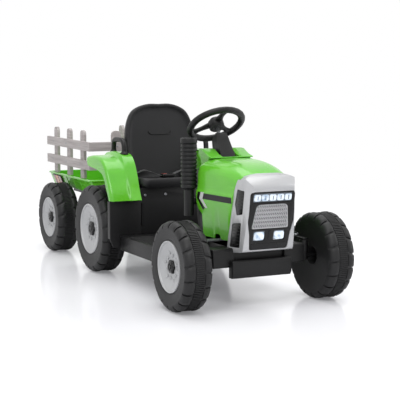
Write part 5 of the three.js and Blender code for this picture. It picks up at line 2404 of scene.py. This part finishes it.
@dataclass
class Chassis(Assembly):
    """Chassis moulding with its running boards, pedal, axle beam and steering linkage."""

    floor_z: float = 125.0
    ribs: int = 16

    def build(self) -> None:
        """Builds the chassis pieces."""
        frame = painted(self.shop.copy_of("frame", "chassis", 1.8, 2), self.palette.body)
        grips = []
        for side in Side:
            a, b = sorted((side.value * 100, side.value * 168))
            rib = Draft().prism(
                rounded([(-1.6, 0), (1.6, 0), (0.8, 1.6), (-0.8, 1.6)], 0.5, 2), Axis.X, a, b
            ).moved(Matrix.Translation((0, -378, self.floor_z - 0.1))).to_object("rib")
            grips.append(self.repeat.along(rib, self.ribs, self.palette.body, (0, 15.5, 0)))
            low, high = sorted((side.value * 71, side.value * 131))
            shroud = Draft().prism(
                rounded([(-594, 104), (-530, 100), (-530, 150), (-590, 152)], 6), Axis.X, low, high
            ).to_object("shroud")
            grips.append(painted(bevelled(shroud, 3, 3), self.palette.body))
        self.fit("chassis", Slot.BODY, frame, *grips)
        self.shop.dress("steering_shaft", Body.STEERING, Slot.STEEL, self.palette.steel, 0.5)
        self.shop.dress("tie_rod", "tie_rod", Slot.STEEL, self.palette.steel, 0.7)
        for side in Side:
            body = f"knuckle_{side.label}"
            self.shop.dress(body, body, Slot.STEEL, self.palette.body, 0.6)
        self._pedal()

    def _pedal(self) -> None:
        """Ribbed pedal plate on its hinge tube."""
        plate = painted(self.shop.copy_of("plate", "pedal", 1.6, 3), self.palette.gloss)
        lie = Matrix.Translation((-58, -262, self.floor_z + 3.4)) @ Matrix.Rotation(
            -math.radians(14), 4, "X"
        )
        rib = Draft().prism(
            rounded([(-1.4, 0), (1.4, 0), (0.7, 1.6), (-0.7, 1.6)], 0.4, 2), Axis.X, -24, 24
        ).moved(lie @ Matrix.Translation((0, -76, 5.9))).to_object("rib")
        step = lie.to_3x3() @ Vector((0, 9.5, 0))
        ribs = self.repeat.along(rib, 8, self.palette.gloss, tuple(step))
        self.fit("pedal", Slot.BODY, plate, ribs, body=Body.PEDAL)


# ---- trailer ----


@dataclass
class Trailer(Assembly):
    """Trailer: tub with a rolled rim, fences, frame, tail lights and hitch pin."""

    front: float = 264.0
    rear: float = 668.0
    half: float = 128.0
    top: float = 247.0
    bottom: float = 205.0

    def build(self) -> None:
        """Builds the trailer pieces."""
        self._tub()
        for node in ("fence_left", "fence_right", "fence_front"):
            self._fence(node)
        self.shop.dress("trailer_frame", Body.TRAILER, Slot.BODY, self.palette.body, 1.4)
        self.shop.dress("trailer_axle", "wheel_trailer_right", Slot.STEEL, self.palette.steel, 0.6)
        self.shop.dress("hitch_pin", Body.TRACTOR, Slot.STEEL, self.palette.steel, 0.6)
        for side in Side:
            self._tail(side)

    def _tub(self) -> None:
        """Tub with side ribs and a rounded rim."""
        green = self.palette.green
        levels = [
            (0.5, 0, self.bottom), (110, 3, self.bottom), (124, 3, 241), (128, 0, 242.4),
            (128, 0, 246), (127, 1, self.top), (121.5, 5.5, self.top), (120.5, 6.5, 246),
            (107.5, 6.5, 210), (104, 10, 208.5), (0.5, 0, 208.5),
        ]
        middle = (self.front + self.rear) / 2
        rows = []
        for half, inset, z in levels:
            ends = (middle - 0.5, middle + 0.5) if half < 1 else (
                self.front + inset, self.rear - inset
            )
            corner = 0.2 if half < 1 else 12
            rows.append([(x, y, z) for x, y in rounded(rectangle(-half, half, *ends), corner, 6)])
        shell = painted(Draft().sheet(rows, wrap=True, caps=True).to_object("shell", 30), green)
        line = rounded(
            rectangle(-self.half + 3, self.half - 3, self.front + 3, self.rear - 3), 14, 8
        )
        path = [(x, y, self.top - 2.6) for x, y in (*line, line[0])]
        rim = Draft().sweep(path, ellipse(2.8, 2.8, 12), (0, 0, 1)).to_object("rim", 50)
        parts = [shell, painted(rim, green)]
        for side in Side:
            rows = []
            for z, x in ((208, 111.0), (240, 124.0)):
                rows.append(
                    [
                        (side.value * (x - 1), -3, z), (side.value * (x + 1.6), -2, z),
                        (side.value * (x + 1.6), 2, z), (side.value * (x - 1), 3, z),
                    ]
                )
            rib = Draft().sheet(rows, wrap=True, caps=True).to_object("rib")
            parts.append(self.repeat.along(rib, 4, green, (0, 62, 0), (0, 312, 0)))
        self.fit("trailer_tub", Slot.SHELL, *parts, body=Body.TRAILER)

    def _fence(self, node: str) -> None:
        """Fence panel with a screw at each crossing.

        Args:
            node: Node of the frame.
        """
        panel = painted(self.shop.copy_of("panel", node, 2.4, 3), self.palette.fence)
        head = [(0, 0), (3.2, 0), (3.2, 0.5), (2.4, 1.0), (0.9, 1.0), (0.8, 0.5), (0, 0.5)]
        parts = [panel]
        for z in (352, 293):
            if node == "fence_front":
                screw = Draft().lathe(head, 12, axis=Axis.Z)
                screw.moved(
                    Matrix.Translation(
                        (-36, self.front + 0.3, z)
                    ) @ Matrix.Rotation(math.pi / 2, 4, "X")
                )
                step, count = (72, 0, 0), 2
            else:
                sign = 1 if node == "fence_left" else -1
                turn = Matrix.Rotation(sign * math.pi / 2, 4, "Y")
                screw = Draft().lathe(head, 12, axis=Axis.Z)
                screw.moved(Matrix.Translation((sign * (self.half + 2.7), 352, z)) @ turn)
                step, count = (0, 126, 0), 3
            parts.append(
                self.repeat.along(screw.to_object("screw"), count, self.palette.steel, step)
            )
        self.fit(node, Slot.FENCE, *parts, body=Body.TRAILER)

    def _tail(self, side: Side) -> None:
        """Tail light: a red, an amber and a second red field, in a black frame.

        Args:
            side: Side of the train.
        """
        node = f"tail_light_{side.label}"
        base = painted(self.shop.copy_of("base", node, 0.8, 2), self.palette.gloss)
        parts = [base]
        for y0, y1, material in (
            (549, 573, self.palette.red), (576, 600, self.palette.amber),
            (602, 620, self.palette.red),
        ):
            rows = []
            for z in (210.5, 237.5):
                share = (z - 205) / 36
                x = 110 + 14 * share + 3.6
                rows.append(
                    [
                        (side.value * x, y0, z), (side.value * (x + 1.4), y0 + 1, z),
                        (side.value * (x + 1.4), y1 - 1, z), (side.value * x, y1, z),
                    ]
                )
            field_draft = Draft().sheet(rows, wrap=True, caps=True)
            parts.append(painted(field_draft.to_object("field"), material))
        self.fit(node, Slot.TAIL, *parts, body=Body.TRAILER)


# ---- studio ----


@dataclass
class Studio:
    """Pale floor, soft lamps, white surroundings and the camera."""

    camera_at: Point = (-1.3805, -3.0825, 0.5921)
    camera_turn: Flat = (90 - 6.493, -25.993)
    lens: float = 103.56
    floor_radius: float = 6.0
    floor_z: float = -0.3
    floor_lift: float = 0.16
    ambient: float = 0.62
    lamps: tuple[tuple[str, Point, Flat, float], ...] = (
        ("key", (-1.6, -2.4, 2.8), (2.2, 1.6), 42),
        ("overhead", (0.2, 0.1, 3.2), (2.6, 2.6), 46),
        ("side", (2.6, -1.4, 1.6), (1.4, 1.8), 16),
    )

    def camera(self) -> None:
        """Places the camera and makes it the scene's."""
        data = bpy.data.cameras.new("camera")
        data.lens = self.lens
        data.sensor_width = 36.0
        data.clip_end = 60.0
        thing = linked("camera", data)
        thing.location = self.camera_at
        pitch, turn = self.camera_turn
        thing.rotation_euler = (math.radians(pitch), 0.0, math.radians(turn))
        bpy.context.scene.camera = thing

    def lamp(
        self, name: str, at: Point, size: Flat, power: float, target: Point = (0, -0.1, 0.2)
    ) -> None:
        """Adds a soft area lamp that faces a point.

        Args:
            name: Name of the lamp.
            at: Place in metres.
            size: Width and height in metres.
            power: Power in watts.
            target: Point that it faces.
        """
        data = bpy.data.lights.new(name, "AREA")
        data.shape = "RECTANGLE"
        data.size, data.size_y = size
        data.energy = power
        thing = linked(name, data)
        thing.location = at
        thing.rotation_euler = (Vector(target) - Vector(at)).to_track_quat("-Z", "Y").to_euler()

    def world(self) -> None:
        """Makes the surroundings white where they are seen and softer as light."""
        world = bpy.data.worlds.new("surroundings")
        world.use_nodes = True
        bpy.context.scene.world = world
        draft = TreeDraft(world.node_tree)
        back = draft.tree.nodes["Background"]
        back.inputs["Color"].default_value = (1.0, 1.0, 1.0, 1.0)
        path = draft.node("ShaderNodeLightPath").outputs
        seen = draft.math("MAXIMUM", path["Is Camera Ray"], path["Is Transmission Ray"])
        mirrored_too = draft.math("MAXIMUM", seen, path["Is Glossy Ray"])
        draft.link(draft.ranged(mirrored_too, UNIT, (self.ambient, 1.0)), back.inputs["Strength"])

    def floor(self) -> None:
        """Lays a pale, slightly glossy floor that fades into the surroundings."""
        rows = [
            [(x, y, self.floor_z) for x, y in ellipse(radius / MM, radius / MM, 64)]
            for radius in (self.floor_radius, 0.001)
        ]
        thing = Draft().sheet(rows, wrap=True).to_object("floor")
        if thing.data.polygons[0].normal.z < 0:
            thing.data.flip_normals()
        draft = MaterialDraft("Studio floor")
        where = draft.node("ShaderNodeTexCoord").outputs["Object"]
        spot = draft.node("ShaderNodeVectorMath", operation="LENGTH")
        draft.link(where, spot.inputs[0])
        mask = draft.ranged(draft.noise(1.5, 2.0, where), (0.35, 0.65), UNIT)
        draft.feed(draft.blend(mask, (0.93, 0.93, 0.95), (0.90, 0.90, 0.935)), "Base Color")
        draft.feed(draft.ranged(spot.outputs["Value"], (1.1, 2.4), (1.0, 0.0)), "Alpha")
        path = draft.node("ShaderNodeLightPath").outputs
        lift = draft.math("MULTIPLY", path["Is Camera Ray"], self.floor_lift)
        draft.feed(lift, "Emission Strength")
        draft.shader.inputs["Emission Color"].default_value = (0.96, 0.96, 1.0, 1.0)
        draft.shader.inputs["Roughness"].default_value = 0.16
        draft.shader.inputs["Specular IOR Level"].default_value = 0.3
        painted(thing, draft.material)

    def build(self) -> None:
        """Builds the studio."""
        bpy.context.scene.view_settings.view_transform = "Standard"
        self.camera()
        self.world()
        self.floor()
        for lamp in self.lamps:
            self.lamp(*lamp)


def main() -> None:
    """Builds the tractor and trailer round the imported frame, in order."""
    logging.basicConfig(level=logging.INFO, format="%(name)s: %(message)s")
    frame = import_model()
    Studio().build()
    shop = Workshop(frame, Palette(), Repeater())
    for assembly in (
        WheelSet(shop, "front", radius=112, rim=66, centre_x=201, axle_y=-558, cap=18),
        WheelSet(shop, "rear", radius=127, rim=75, centre_x=172.5, axle_y=66, cap=22),
        WheelSet(shop, "trailer", radius=112, rim=66, centre_x=155, axle_y=488, cap=19),
        Hood(shop), Nose(shop), Dash(shop), SteeringWheel(shop), Seat(shop), Fender(shop),
        Rear(shop), Chassis(shop), Trailer(shop),
    ):
        assembly.build()
        LOG.info("%s built", type(assembly).__name__)


if __name__ == "__main__":
    main()
